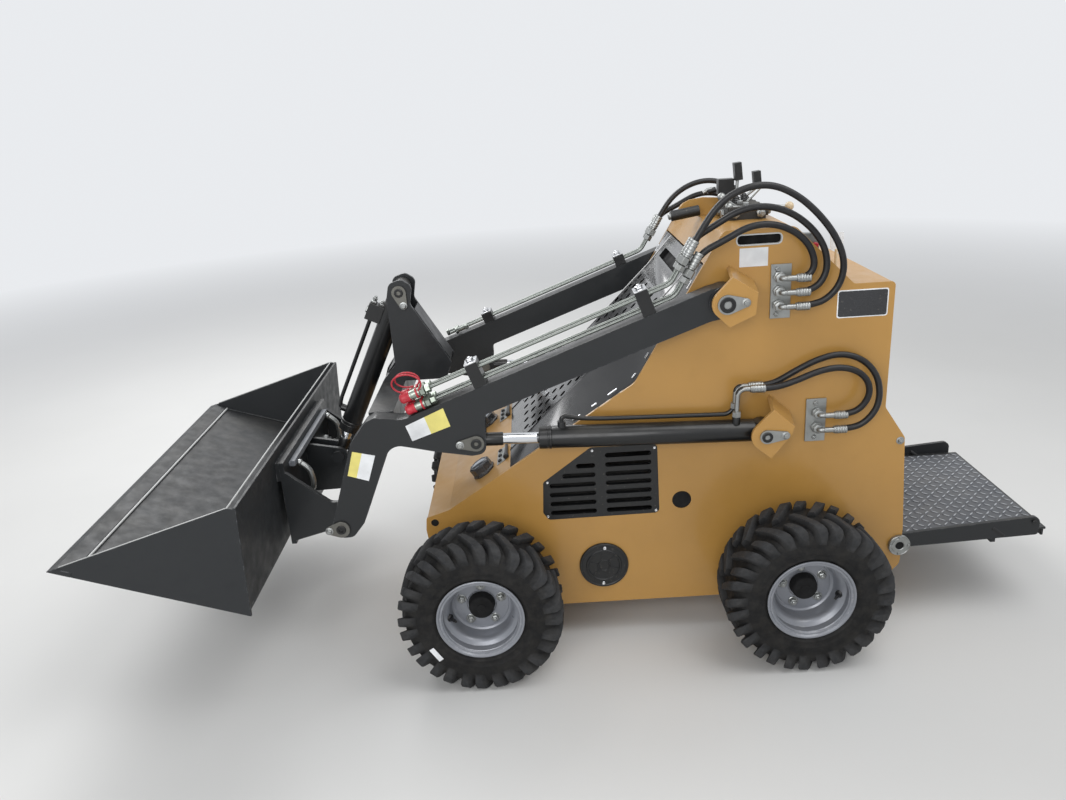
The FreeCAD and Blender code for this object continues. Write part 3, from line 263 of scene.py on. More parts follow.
PAINT_GOLD = painted("gold_paint", srgb(175, 132, 66), 0.36, 0.3, 0.30, 0.16,
                     worn_to=srgb(214, 180, 128))
PAINT_GREY = painted("charcoal_paint", srgb(33, 35, 37), 0.40, 0.12, 0.5, 0.14,
                     worn_to=srgb(116, 118, 121), specular=0.35)
PAINT_BUCKET = painted("bucket_paint", srgb(42, 44, 46), 0.50, 0.0, 0.6, 0.10,
                       worn_to=srgb(150, 152, 155), specular=0.3)
PAINT_BLACK = painted("black_paint", srgb(17, 18, 19), 0.34, 0.2, 0.45, 0.14,
                      worn_to=srgb(96, 97, 99), specular=0.4)
PAINT_HOOD = painted("hood_paint", srgb(36, 37, 39), 0.20, 0.6, 0.30, 0.06)
DECK_PAINT = painted("deck_paint", srgb(84, 87, 92), 0.45, 0.0, 0.5, 0.15, specular=0.35,
                     worn_to=srgb(150, 152, 155))
STUD_TOP = painted("stud_top", srgb(162, 166, 172), 0.4, 0.0, 0.5, 0.1,
                   worn_to=srgb(205, 207, 210))
PAINT_RIM = painted("rim_paint", srgb(132, 135, 142), 0.34, 0.2, 0.25, 0.22, metallic=0.35,
                    worn_to=srgb(205, 207, 210))
TYRE = tyre_skin()
HOSE = rubber("hose_rubber", srgb(19, 19, 21), 0.40, 0.03, 500, 0.15)
ZINC = bare_metal("zinc_plate", srgb(158, 160, 159), 0.36, 0.9, dark=srgb(108, 107, 96))
TUBE = bare_metal("tube_steel", srgb(122, 126, 122), 0.34, 0.9, stain=0.15,
                  dark=srgb(84, 88, 82))
BRIGHT = bare_metal("bright_steel", srgb(205, 206, 208), 0.22, 1.0, stain=0.2)
CHROME = bare_metal("chrome", srgb(225, 227, 230), 0.07, 1.0, stain=0.08)
IRON = painted("cast_iron", srgb(44, 43, 41), 0.6, 0.0, 0.4, 0.2, peel=0.3)
PLASTIC = moulded("black_plastic", srgb(20, 21, 22), 0.36)
RED = moulded("red_plastic", srgb(176, 38, 52), 0.4)
LAMP = moulded("lamp_black", srgb(34, 35, 38), 0.25, 0.5)
GREENISH = bare_metal("coupler_zinc", srgb(158, 166, 156), 0.36, 0.9, dark=srgb(96, 104, 92))
DULL = bare_metal("dull_zinc", srgb(112, 111, 106), 0.42, 0.85, dark=srgb(70, 68, 62))
SHADE = rubber("deep_shade", srgb(6, 6, 7), 0.9, 0.01)
WORN = painted("worn_bar", srgb(104, 108, 114), 0.5, 0.0, 0.5, 0.1, worn_to=srgb(170, 172, 174))
# Pale paint on the bucket's edges and weld, and a painted highlight on the rims of the hand slots
PALE_EDGE = painted("bare_edge_and_highlight", srgb(186, 187, 186), 0.42, 0.0, 0.2, 0.1)
YELLOW = moulded("label_yellow", srgb(222, 210, 120), 0.4, 0.0, 0.1)
IVORY = moulded("ivory_knob", srgb(204, 184, 150), 0.3, 0.3, 0.1)
LENS = bare_metal("lamp_lens", srgb(150, 156, 164), 0.08, 0.75, stain=0.1)
LABEL = moulded("label_white", srgb(226, 228, 230), 0.4, 0.0, 0.1)

WHEELS = [(end, hand) for end in ("front", "rear") for hand in ("left", "right")]
NODE_MATERIAL = {
    PAINT_GOLD: ["side_panel_left", "side_panel_right", "belly_plate", "front_wall",
                 "nose_cover", "console_cover", "rear_wall", "pivot_brackets"],
    PAINT_HOOD: ["hood_cover"],
    PAINT_GREY: ["arm_left", "arm_right", "cross_tube", "tilt_tower", "quick_attach",
                 "platform"],
    PAINT_BUCKET: ["bucket", "cutting_edge"],
    PAINT_BLACK: ["axle_housings", "lift_barrel_left", "lift_barrel_right", "tilt_barrel",
                  "line_clamps"],
    PAINT_RIM: ["rim_%s_%s" % wheel for wheel in WHEELS],
    TYRE: ["tyre_%s_%s" % wheel for wheel in WHEELS],
    HOSE: ["boom_hoses", "lift_hoses"],
    ZINC: ["pivot_pins", "hose_bulkheads", "boom_lines", "couplers", "platform_hinges"],
    DULL: ["arm_pins", "tilt_pin", "attach_levers"],
    CHROME: ["lift_rod_left", "lift_rod_right", "tilt_rod"],
    IRON: ["engine_block", "valve_bank"],
    PLASTIC: ["side_vents", "access_caps", "control_levers"],
    LAMP: ["head_lamps"],
}


# Making meshes


def round_edges(made, width, sharp):
    """Rounds an object's sharp edges a little."""
    bevel = made.modifiers.new("edges", "BEVEL")
    bevel.width = width
    bevel.segments = 2
    bevel.limit_method = "ANGLE"
    bevel.angle_limit = radians(sharp)


def dress_nodes():
    """Materials of the carried-over nodes, their seams welded and their edges rounded."""
    for material, names in NODE_MATERIAL.items():
        for name in names:
            made = frame["nodes"][name]
            made.data.materials.clear()
            made.data.materials.append(material)
            weld = made.modifiers.new("weld", "WELD")
            weld.merge_threshold = 0.02 * MM
            round_edges(made, 1.2 * MM, 34)


def piece(name, bm, materials, body, sharp=35, bevel=0.0):
    """Object from a mesh in millimetres at the stations, riding on a body."""
    bmesh.ops.remove_doubles(bm, verts=bm.verts, dist=0.001)
    bmesh.ops.recalc_face_normals(bm, faces=bm.faces)
    bm.transform(STATION)
    mesh = bpy.data.meshes.new(name)
    bm.to_mesh(mesh)
    bm.free()
    for material in materials:
        mesh.materials.append(material)
    mesh.shade_smooth()
    mesh.set_sharp_from_angle(angle=radians(sharp))
    made = bpy.data.objects.new(name, mesh)
    bpy.context.scene.collection.objects.link(made)
    if bevel:
        round_edges(made, bevel * MM, sharp)
    if body:
        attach(made, body)
    return made


def frame_of(direction):
    """Two unit vectors square to a direction and to each other."""
    w = Vector(direction).normalized()
    side = Vector((0, 1, 0)) if abs(w.y) < 0.9 else Vector((1, 0, 0))
    u = side.cross(w).normalized()
    return u, w.cross(u), w


def circle(bm, middle, u, v, radius, sides, turn=0.0):
    """Ring of points round a middle, in the plane of two unit vectors."""
    angles = [2 * pi * i / sides + turn for i in range(sides)]
    return [bm.verts.new(middle + (u * cos(a) + v * sin(a)) * radius) for a in angles]


def bridge(bm, lower, upper, mat=0, closed=True):
    """Faces between two rings of points, either of which may be a single point."""
    count = max(len(lower), len(upper))
    for i in range(count if closed else count - 1):
        j = (i + 1) % count
        corners = dict.fromkeys((lower[i % len(lower)], lower[j % len(lower)],
                                 upper[j % len(upper)], upper[i % len(upper)]))
        if len(corners) > 2:
            bm.faces.new(list(corners)).material_index = mat


def loft(bm, rings, mat=0, closed=True):
    """Skin over rings of points, with a face over each end."""
    for lower, upper in zip(rings, rings[1:]):
        bridge(bm, lower, upper, mat, closed)
    for end in (rings[0][::-1], rings[-1]):
        bm.faces.new(end).material_index = mat


def bend(first, corner, last, steps):
    """Points along a rounded corner, from its first point to its last."""
    shares = [k / steps for k in range(steps + 1)]
    return [first * (1 - t) ** 2 + corner * 2 * t * (1 - t) + last * t ** 2 for t in shares]


def lathe(bm, centre, axis, profile, sides=32, mat=0, turn=0.0):
    """Turned shape about an axis from (radius, height along the axis) points."""
    u, v, w = frame_of(axis)
    rings = []
    for radius, along in profile:
        middle = Vector(centre) + w * along
        if radius > 1e-6:
            rings.append(circle(bm, middle, u, v, radius, sides, turn))
        else:
            rings.append([bm.verts.new(middle)])
    for lower, upper in zip(rings, rings[1:]):
        bridge(bm, lower, upper, mat)


def bar(bm, start, end, radius, sides=20, mat=0, chamfer=0.8):
    """Round bar with a small chamfer at each end."""
    run = Vector(end) - Vector(start)
    c = min(chamfer, radius * 0.4, run.length * 0.3)
    profile = [(0, 0), (radius - c, 0), (radius, c), (radius, run.length - c),
               (radius - c, run.length), (0, run.length)]
    lathe(bm, start, run, profile, sides, mat)


def rectangle(x0, x1, z0, z1):
    """Corners of a rectangle."""
    return [(x0, z0), (x1, z0), (x1, z1), (x0, z1)]


def prism(bm, outline, y0, y1, mat=0):
    """Plate between two values of Y from an (x, z) outline."""
    loft(bm, [[bm.verts.new((x, y, z)) for x, z in outline] for y in (y0, y1)], mat)


def block(bm, x, y, z, mat=0, turn=Matrix()):
    """Box between two values on each axis, turned by a matrix if one is given."""
    loft(bm, [[bm.verts.new(turn @ Vector((a, b, c))) for a, b in rectangle(*x, *y)]
              for c in z], mat)


def hex_bolt(bm, seat, axis, across=13.0, head=7.0, washer=True, thread=3.0):
    """Hexagon head on its washer, with the bolt's end in the middle."""
    base = 1.6 if washer else 0.0
    if washer:
        lathe(bm, seat, axis, [(0, 0), (across * 0.82, 0), (across * 0.86, 0.4),
                               (across * 0.86, 1.2), (across * 0.8, base), (0, base)], 24)
    r = across / 2 / cos(pi / 6)
    top = base + head
    lathe(bm, seat, axis, [(0, base), (r, base), (r, base + head * 0.82), (r * 0.86, top),
                           (0, top)], 6)
    if thread:
        lathe(bm, seat, axis, [(across * 0.27, top - 1), (across * 0.27, top + thread),
                               (across * 0.2, top + thread + 0.8), (0, top + thread + 0.8)], 14)


def socket_screw(bm, seat, axis, radius=5.0, head=4.0):
    """Round screw head with a sunk centre."""
    lathe(bm, seat, axis, [(0, 0), (radius, 0), (radius, head * 0.6), (radius * 0.82, head),
                           (radius * 0.5, head)], 20)
    lathe(bm, seat, axis, [(radius * 0.5, head), (radius * 0.5, head * 0.3), (0, head * 0.3)], 20)


def weld_bead(bm, start, end, radius, seed):
    """Rippled bead of weld between two points."""
    start, end = Vector(start), Vector(end)
    u, v, w = frame_of(end - start)
    length = (end - start).length
    steps = max(4, int(length / 2.2))
    rings = []
    for i in range(steps + 1):
        along = length * i / steps
        swell = 1.0 + 0.16 * sin(along * 1.45) + 0.12 * noise.noise((along * 0.3, seed, 0))
        if i in (0, steps):
            swell *= 0.35
        rings.append(circle(bm, start + w * along, u, v, radius * swell, 8))
    loft(bm, rings)


# Wheels


def half_size(node):
    """Half of a node's size on each axis."""
    low, high = node_box(node)
    return (high - low) / 2


TYRE_R = half_size("tyre_front_left").z
TYRE_HALF = half_size("tyre_front_left").y
RIM_R = half_size("rim_front_left").z
BAR_H = 16.0
BARS = 28                # tread bars on each half, long and short in turn
WHEEL_SIDES = 112

# Half of the carcass section, from the rim's edge to the tread's middle: radius, half width
WALL = [(RIM_R + over, TYRE_HALF - inside) for over, inside in (
    (-9, 17), (1, 12), (6, 8), (9, 4.4), (11, 3.8), (13, 4.6), (24, 1.6), (26, 0.9), (29, 0.9),
    (31, 1.5), (48, 1.2), (62, 3.5))]
WALL += [(TYRE_R - BAR_H - below, TYRE_HALF - inside) for below, inside in (
    (18, 7.5), (9, 14), (4, 24), (1, 42), (0, TYRE_HALF - 18), (0, TYRE_HALF))]


def wheel_point(centre, radius, angle, y):
    """Point at a radius and an angle from the top, forwards, about a wheel's centre."""
    return Vector((centre.x + radius * sin(angle), centre.y + y, centre.z + radius * cos(angle)))


def wall_radius(y):
    """Radius of the carcass at a distance from the tread's middle."""
    y = abs(y)
    for (r0, y0), (r1, y1) in zip(WALL[10:], WALL[11:]):
        if y1 <= y <= y0:
            return r0 + (r1 - r0) * (y0 - y) / max(y0 - y1, 1e-6)
    return WALL[10][0]


# Points of a tread bar from the wall inwards: distance from the side, depth, sweep, half width
LONG_BAR = [
    (0.6, 46, -25, 8.3), (0.2, 30, -22, 12.2), (0.4, 16, -18.5, 14.1), (5, 6.5, -14, 14.7),
    (14, 2.2, -8, 14.7), (27, 0.7, 0, 14.3), (42, 0.3, 9, 13.6), (58, 0.2, 20, 12.5),
    (74, 0.2, 32, 11.0), (84, 0.4, 40, 9.0)]
SHORT_BAR = [
    (0.6, 34, -18, 8.3), (0.2, 24, -16, 11.5), (0.4, 14, -13, 13.4), (5, 6.5, -9, 14.1),
    (14, 2.4, -3, 14.1), (27, 0.9, 5, 13.3), (38, 0.8, 12, 12.0), (46, 1.4, 17, 9.7)]


def tread_bar(bm, centre, lead, side, line, marks):
    """One rounded bar that follows its centreline over the shoulder."""
    rings = []
    for inside, below, sweep_by, half in line:
        y, top = TYRE_HALF - inside, TYRE_R - below
        foot = min(wall_radius(y) - 3.0, top - 4.0)
        ring = []
        rise = [(-half - 4.0, foot, 0.0), (-half, top - 3.0, 0.6), (-half + 2.6, top, 1.0)]
        for across, radius, mark in rise + [(-a, r, m) for a, r, m in rise[::-1]]:
            angle = lead + (sweep_by + across) / TYRE_R
            out = y if radius > foot else min(y, TYRE_HALF - 3.0)
            vert = bm.verts.new(wheel_point(centre, radius, angle, side * out))
            vert[marks] = mark
            ring.append(vert)
        rings.append(ring)
    loft(bm, rings, closed=False)


def tyre(end, hand):
    """Tyre with its bars in place of the plain node."""
    centre = wheel_centre(end, hand)
    bm = bmesh.new()
    marks = bm.verts.layers.float.new("bar")
    rings = []
    for radius, y in WALL + [(r, -y) for r, y in WALL[-2::-1]]:
        rings.append([bm.verts.new(wheel_point(centre, radius, 2 * pi * i / WHEEL_SIDES, y))
                      for i in range(WHEEL_SIDES)])
    for lower, upper in zip(rings, rings[1:] + rings[:1]):
        bridge(bm, lower, upper)
    step = 2 * pi / BARS
    for i in range(BARS):
        line = (LONG_BAR, SHORT_BAR)[i % 2]
        tread_bar(bm, centre, i * step, 1, line, marks)
        tread_bar(bm, centre, (i + 1) * step, -1, line, marks)
    name = "tyre_%s_%s" % (end, hand)
    made = piece(name + "_rubber", bm, [TYRE], "wheel_%s_%s" % (end, hand), 40)
    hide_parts(name)


# Lines that hoses and tubes follow


def smooth_line(points):
    """Points along the smooth curve that a hose's control points draw."""
    data = bpy.data.curves.new("route", "CURVE")
    data.dimensions = "3D"
    data.resolution_u = 10
    spline = data.splines.new("NURBS")
    spline.points.add(len(points) - 1)
    for place, point in zip(spline.points, points):
        place.co = (*point, 1)
    spline.order_u = 3
    spline.use_endpoint_u = True
    holder = bpy.data.objects.new("route", data)
    mesh = bpy.data.meshes.new_from_object(holder)
    line = [v.co.copy() for v in mesh.vertices]
    bpy.data.objects.remove(holder)
    bpy.data.curves.remove(data)
    bpy.data.meshes.remove(mesh)
    return line


def sweep(bm, line, radius, sides=18):
    """Round tube along a line of points, closed at both ends."""
    line = [Vector(p) for p in line]
    side = None
    rings = []
    for i, spot in enumerate(line):
        way = (line[min(i + 1, len(line) - 1)] - line[max(i - 1, 0)]).normalized()
        side = frame_of(way)[0] if side is None else (side - way * side.dot(way)).normalized()
        rings.append(circle(bm, spot, side, way.cross(side), radius, sides))
    loft(bm, rings)


def ferrule(bm, start, way, length, radius=11.5):
    """Crimped sleeve of a hose end, with rings pressed into it."""
    profile = [(0, 0), (radius * 0.72, 0), (radius * 0.86, 1.2), (radius * 0.86, 5), (radius, 6)]
    grooves = 4
    for i in range(grooves):
        at = 6 + (length - 9) * (i + 0.5) / grooves
        profile += [(radius, at - 1.6), (radius * 0.91, at - 0.8), (radius * 0.91, at + 0.8),
                    (radius, at + 1.6)]
    profile += [(radius, length - 1.5), (radius * 0.9, length), (0, length)]
    lathe(bm, start, way, profile, 24)


def hex_nut(bm, start, way, across, length, turn=0.0, mat=0):
    """Six-sided nut with turned corners."""
    r = across / 2 / cos(pi / 6)
    c = min(1.4, length * 0.2)
    lathe(bm, start, way, [(0, 0), (across * 0.46, 0), (r, c), (r, length - c),
                           (across * 0.46, length), (0, length)], 6, mat, turn)


# Steel lines and hoses. The routes are those of the solids they stand for.

ARM_START = Vector((-196.0, 0, 1039.0))          # rear end of an arm's top face
ARM_WAY = (Vector((610.0, 0, 742.0)) - ARM_START).normalized()
ARM_UP = Vector((-ARM_WAY.z, 0, ARM_WAY.x))
ARM_Y = 335.0            # middle of an arm's width
ARM_OUT = 361.0
LINE_TIERS = (16.0, 50.0)
LINE_OFFSETS = (-14.0, 14.0)
LINE_REAR = -118.0
LINE_FRONT = 528.0
LINE_RISE = Vector((-0.5, 0, 0.866))
LINE_RISE_LEN = 60.0
CLAMPS = (-46.0, 398.0)
PANEL_Y = 300.0          # outer face of a side panel
FITTING_Y = 334.0
HOSE_R = 8.5
HOSE_REAR = -425.0       # where a boom hose leaves its ferrule's tube
LIFT_HOSE_REAR = -541.0

BOOM_HOSES = [
    [(HOSE_REAR, 334, 976), (-458, 334, 977), (-500, 338, 990), (-532, 342, 1030),
     (-538, 346, 1085), (-515, 350, 1145), (-470, 352, 1205), (-412, 352, 1258),
     (-345, 352, 1290), (-275, 352, 1284), (-215, 351, 1248)],
    [(HOSE_REAR, 334, 1013), (-452, 334, 1014), (-484, 334, 1032), (-500, 334, 1072),
     (-490, 334, 1125), (-455, 334, 1175), (-402, 332, 1216), (-340, 330, 1236),
     (-275, 326, 1228), (-214, 321, 1192)],
    [(HOSE_REAR, 334, 1050), (-444, 334, 1051), (-464, 334, 1068), (-464, 336, 1100),
     (-444, 340, 1140), (-404, 344, 1174), (-350, 348, 1194), (-292, 349, 1190),
     (-236, 349, 1160)],
]
# Columns: side, route, height of the tube above the arm, its place across the arm
BOOM_HOSE_TUBES = [
    (1, 0, LINE_TIERS[1], LINE_OFFSETS[1]), (1, 1, LINE_TIERS[1], LINE_OFFSETS[0]),
    (1, 2, LINE_TIERS[0], LINE_OFFSETS[1]), (-1, 1, LINE_TIERS[0], LINE_OFFSETS[0]),
    (-1, 2, LINE_TIERS[0], LINE_OFFSETS[1]),
]
LIFT_HOSES = [
    [(LIFT_HOSE_REAR, 334, 670), (-570, 334, 671), (-604, 340, 684), (-626, 346, 724),
     (-618, 350, 768), (-584, 352, 800), (-536, 352, 812), (-480, 351, 802), (-420, 348, 776)],
    [(LIFT_HOSE_REAR, 334, 628), (-574, 334, 629), (-614, 340, 640), (-648, 342, 680),
     (-656, 340, 728), (-644, 334, 782), (-604, 328, 824), (-548, 324, 840), (-488, 323, 826),
     (-428, 323, 796)],
]
PIPE_END = (38.0, 122.0)
PIPE_SHIFT = 12.0
RISER_AT = 74.0          # where the pipes leave a lift barrel, from its pin
BULKHEAD_T = 6.0
SIDES = (("left", 1), ("right", -1))
LIFT_EYE = (423.0, 663.0)
TILT_EYE = (880.0, 512.0)


def on_arm(x, y, above):
    """Point over an arm's top face, at a station and a height square to the face."""
    along = (x - ARM_START.x) / ARM_WAY.x
    return ARM_START + ARM_WAY * along + ARM_UP * above + Vector((0, y, 0))


def line_rear(y, above):
    """Rear end of a tube that runs at a height above an arm's top face."""
    return on_arm(LINE_REAR, y, above) + LINE_RISE * LINE_RISE_LEN


def line_frame(base, eye, y=0.0):
    """Start, way and upright of a cylinder between two (x, z) points."""
    start = Vector((base[0], y, base[1]))
    ahead = (Vector((eye[0], y, eye[1])) - start).normalized()
    return start, ahead, Vector((-ahead.z, 0, ahead.x))


def by_cylinder(y, along, square):
    """Point beside a lift cylinder, at a distance from its pin and square to it."""
    start, ahead, up = line_frame(LIFT_BASE, LIFT_EYE, y)
    return start + ahead * along + up * square


def hoses():
    """Rubber hoses from the side panels to the arm lines and to the lift barrels' pipes."""
    for hand, way in SIDES:
        bm = bmesh.new()
        for side, route, above, offset in BOOM_HOSE_TUBES:
            if side == way:
                points = [(x, way * y, z) for x, y, z in BOOM_HOSES[route]]
                end = line_rear(way * (ARM_Y + offset), above)
                points += [end + LINE_RISE * back for back in (62, 24)]
                sweep(bm, smooth_line(points), HOSE_R)
        made = piece("boom_hoses_" + hand, bm, [HOSE], None, 60)
        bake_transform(made)
        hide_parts("boom_hoses")
        bm = bmesh.new()
        for route, shift in zip(LIFT_HOSES, (PIPE_SHIFT, -PIPE_SHIFT)):
            points = [(x, way * y, z) for x, y, z in route]
            points += [by_cylinder(way * (ARM_Y + shift), PIPE_END[0] - back, PIPE_END[1])
                       for back in (58, 22)]
            sweep(bm, smooth_line(points), HOSE_R)
        made = piece("lift_hoses_" + hand, bm, [HOSE], None, 60)
        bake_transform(made)
        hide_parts("lift_hoses")


# Columns: x range, z range, x of the elbows, their heights, start of the hoses
BULKHEADS = [
    ((-417.0, -365.0), (940.0, 1082.0), -385.0, (976.0, 1013.0, 1050.0), HOSE_REAR),
    ((-526.0, -472.0), (586.0, 709.0), -501.0, (670.0, 628.0), LIFT_HOSE_REAR),
]


def elbow(bm, spot, out, back, reach, drop):
    """Bent tube from a nut that faces one way to a sleeve that faces another."""
    out, back = Vector(out), Vector(back)
    line = [Vector(spot)]
    steps = 8
    for i in range(steps + 1):
        a = pi / 2 * i / steps
        line.append(line[0] + out * (reach - drop + drop * sin(a)) + back * drop * (1 - cos(a)))
    line.append(line[-1] + back * 4)
    sweep(bm, line, 6.5, 14)
    return line[-1]


def hose_fittings():
    """Plates on the side panels with nuts, elbows and the sleeves of the hoses."""
    for hand, way in SIDES:
        bm = bmesh.new()
        out, back = Vector((0, way, 0)), Vector((-1, 0, 0))
        face = way * (PANEL_Y + BULKHEAD_T + 0.3)
        for x_range, z_range, x, heights, rear in BULKHEADS:
            block(bm, x_range, (way * (PANEL_Y + 0.3), face), z_range)
            for z in (z_range[0] + 12, z_range[1] - 12):
                socket_screw(bm, (x + 4, face, z), out, 6.5, 5)
            for number, z in enumerate(heights):
                spot = Vector((x, face, z))
                hex_nut(bm, spot, out, 27, 9, 0.3 * number)
                hex_nut(bm, spot + out * 9.5, out, 24, 12, 0.2)
                if (hand, number, rear) == ("right", 0, HOSE_REAR):
                    # The right arm has no third hose, so this port is plugged
                    hex_nut(bm, spot + out * 21, out, 22, 6)
                    continue
                end = elbow(bm, spot + out * 16, out, back, FITTING_Y - PANEL_Y - 22.3, 9)
                bar(bm, end, (rear, way * FITTING_Y, z), 7.5, 16)
                ferrule(bm, (rear + 3, way * FITTING_Y, z), back, 36)
        made = piece("hose_fittings_" + hand, bm, [ZINC], "chassis", 30, 0.5)
        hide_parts("hose_bulkheads")


def line_unions():
    """Nuts and sleeves where the hoses meet the steel lines of the arms."""
    up = LINE_RISE
    for hand, way in SIDES:
        bm = bmesh.new()
        for side, _, above, offset in BOOM_HOSE_TUBES:
            if side == way:
                tip = line_rear(way * (ARM_Y + offset), above)
                hex_nut(bm, tip - up * 22, up, 22, 17, 0.4)
                hex_nut(bm, tip - up * 4, up, 25, 21, 0.1)
                ferrule(bm, tip + up * 17, up, 46, 12.0)
        piece("line_unions_" + hand, bm, [ZINC], "boom", 30, 0.4)


def barrel_elbows():
    """Elbows that carry the hoses on to the pipes of the lift cylinders."""
    _, ahead, up = line_frame(LIFT_BASE, LIFT_EYE)
    for hand, way in SIDES:
        bm = bmesh.new()
        for shift in (PIPE_SHIFT, -PIPE_SHIFT):
            y = way * (ARM_Y + shift)
            tip = by_cylinder(y, *PIPE_END)
            ferrule(bm, tip + ahead * 4, -ahead, 40, 11.2)
            foot = by_cylinder(y, RISER_AT, 44 if shift > 0 else 60)
            hex_nut(bm, foot, up, 21, 17, 0.3)
            line = [by_cylinder(y, RISER_AT, 60)]
            for a in (radians(degrees) for degrees in range(0, 100, 10)):
                line.append(by_cylinder(y, RISER_AT - 20 * (1 - cos(a)), 102 + 20 * sin(a)))
            sweep(bm, line + [tip], 6.6, 16)
        piece("barrel_elbows_" + hand, bm, [ZINC], "lift_barrel_" + hand, 40)


def couplers():
    """Quick couplers with knurled sleeves, and red dust caps on loops."""
    metal, red = bmesh.new(), bmesh.new()
    way = ARM_WAY
    for above in LINE_TIERS:
        for offset in LINE_OFFSETS:
            tip = on_arm(LINE_FRONT, ARM_Y + offset, above)
            hex_nut(metal, tip - way * 16, way, 21, 15, 0.3)
            hex_nut(metal, tip, way, 24, 14)
            lathe(metal, tip + way * 14, way, [
                (0, 0), (10, 0), (12.4, 1.5), (12.4, 6), (11.6, 6.6), (11.6, 8), (12.6, 8.6),
                (12.6, 24), (11.8, 25), (11.8, 30), (9, 31), (0, 31)], 26)
            lathe(red, tip + way * 43, way, [
                (0, 0), (12.2, 0), (14.0, 0.8), (14.4, 4), (13.4, 6), (13.4, 17), (14.0, 18.5),
                (13.2, 25), (10, 28), (4, 30), (0, 30)], 28)
            lathe(red, tip + way * 20, way, [(12.9, 0), (14.6, 0), (14.6, 5), (12.9, 5)], 26)
    for y, wide, high, lift in ((352, 39, 27, 0), (330, 33, 22, 4)):
        loop = []
        for i in range(19):
            a = radians(-115 + 335 * i / 18)
            loop.append((592 + wide * cos(a), y + 7 * sin(a / 2), 838 + lift + high * sin(a)))
        sweep(red, smooth_line(loop), 2.4, 10)
        sweep(red, [loop[0], (598, y - 2, 800)], 2.4, 10)
        sweep(red, [loop[-1], (560, y - 4, 808)], 2.4, 10)
    made = piece("coupler_bodies", metal, [GREENISH], "boom", 32)
    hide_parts("couplers")
    made = piece("coupler_caps", red, [RED], "boom", 40)
    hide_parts("couplers")


def arm_tubes():
    """Thin steel tubes in pairs along the arms."""
    bm = bmesh.new()
    for side, tiers in ((1, LINE_TIERS), (-1, LINE_TIERS[:1])):
        for above in tiers:
            for offset in LINE_OFFSETS:
                y = side * (ARM_Y + offset)
                rise = line_rear(y, above)
                rear, front = (on_arm(x, y, above) for x in (LINE_REAR, LINE_FRONT))
                u, v = (rear - rise).normalized(), (front - rear).normalized()
                sweep(bm, [rise] + bend(rear - u * 16, rear, rear + v * 16, 8) + [front], 4.2, 16)
    for offset, back in zip(LINE_OFFSETS, (0, 34)):
        spot = on_arm(LINE_FRONT, offset - ARM_Y, LINE_TIERS[0]) - ARM_WAY * back
        hex_nut(bm, spot - ARM_WAY * 30, ARM_WAY, 17, 13)
        bar(bm, spot - ARM_WAY * 18, spot + ARM_WAY * 8, 7.5, 18)
        hex_nut(bm, spot + ARM_WAY * 6, ARM_WAY, 19, 10, 0.3)
    made = piece("arm_tubes", bm, [TUBE], "boom", 40)
    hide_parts("boom_lines")


def clamp_nuts():
    """Steel cover plates and nuts on the line clamps."""
    bm = bmesh.new()
    lean = Matrix((ARM_WAY, Vector((0, 1, 0)), ARM_UP)).transposed().to_4x4()
    for side, tier in ((1, LINE_TIERS[1]), (-1, LINE_TIERS[0])):
        for station in CLAMPS:
            base = on_arm(station, side * ARM_Y, tier + 16.3)
            block(bm, (-17, 17), (-25, 25), (0, 3.5), 0, Matrix.Translation(base) @ lean)
            hex_nut(bm, base + ARM_UP * 3.4, ARM_UP, 19, 8)
            bar(bm, base + ARM_UP * 11, base + ARM_UP * 15, 4.5, 14)
    piece("clamp_nuts", bm, [BRIGHT], "boom", 30, 0.5)


# Rims

WHEEL_BOLTS = 5
WHEEL_BOLT_R = 57.0
# Closed section of a rim: depth below its edge, distance outwards from the middle
RIM_PROFILE = [(RIM_R - below, out) for below, out in (
    (1.5, 70.5), (0, 73), (0.3, 75.6), (2.4, 76.5), (5.5, 75.6), (8.2, 72.5), (10.2, 69.8),
    (14.5, 68.2), (17, 66.4), (17.6, 60), (17.6, 52), (16.2, 50), (16.2, 46), (18.5, 43.5),
    (25, 40), (30.5, 33), (32.5, 27), (33, 18), (33.4, 3), (35.5, -3.5), (40, -7), (44, -7.5),
    (RIM_R - 75, -7.5), (RIM_R - 73.5, -6.2), (RIM_R - 41, -6.2), (RIM_R - 39.5, -7.5),
    (RIM_R - 36.6, -8), (RIM_R - 36.6, -13.5), (30, -13.5), (22, -18), (21, -68), (17, -71.5),
    (4, -72.5), (0, -75.5), (1, -76.5), (8, -75), (16, -71), (16.4, 0), (16.4, 66),
    (13.5, 71.4), (5, 72.2), (1.5, 70.5))]
HUB_PROFILE = [
    (0, 20), (12, 20), (13, 18.6), (29, 18.4), (32.5, 16.6), (34.4, 12), (35.6, -1), (36.2, -9),
    (36.2, -24),
]


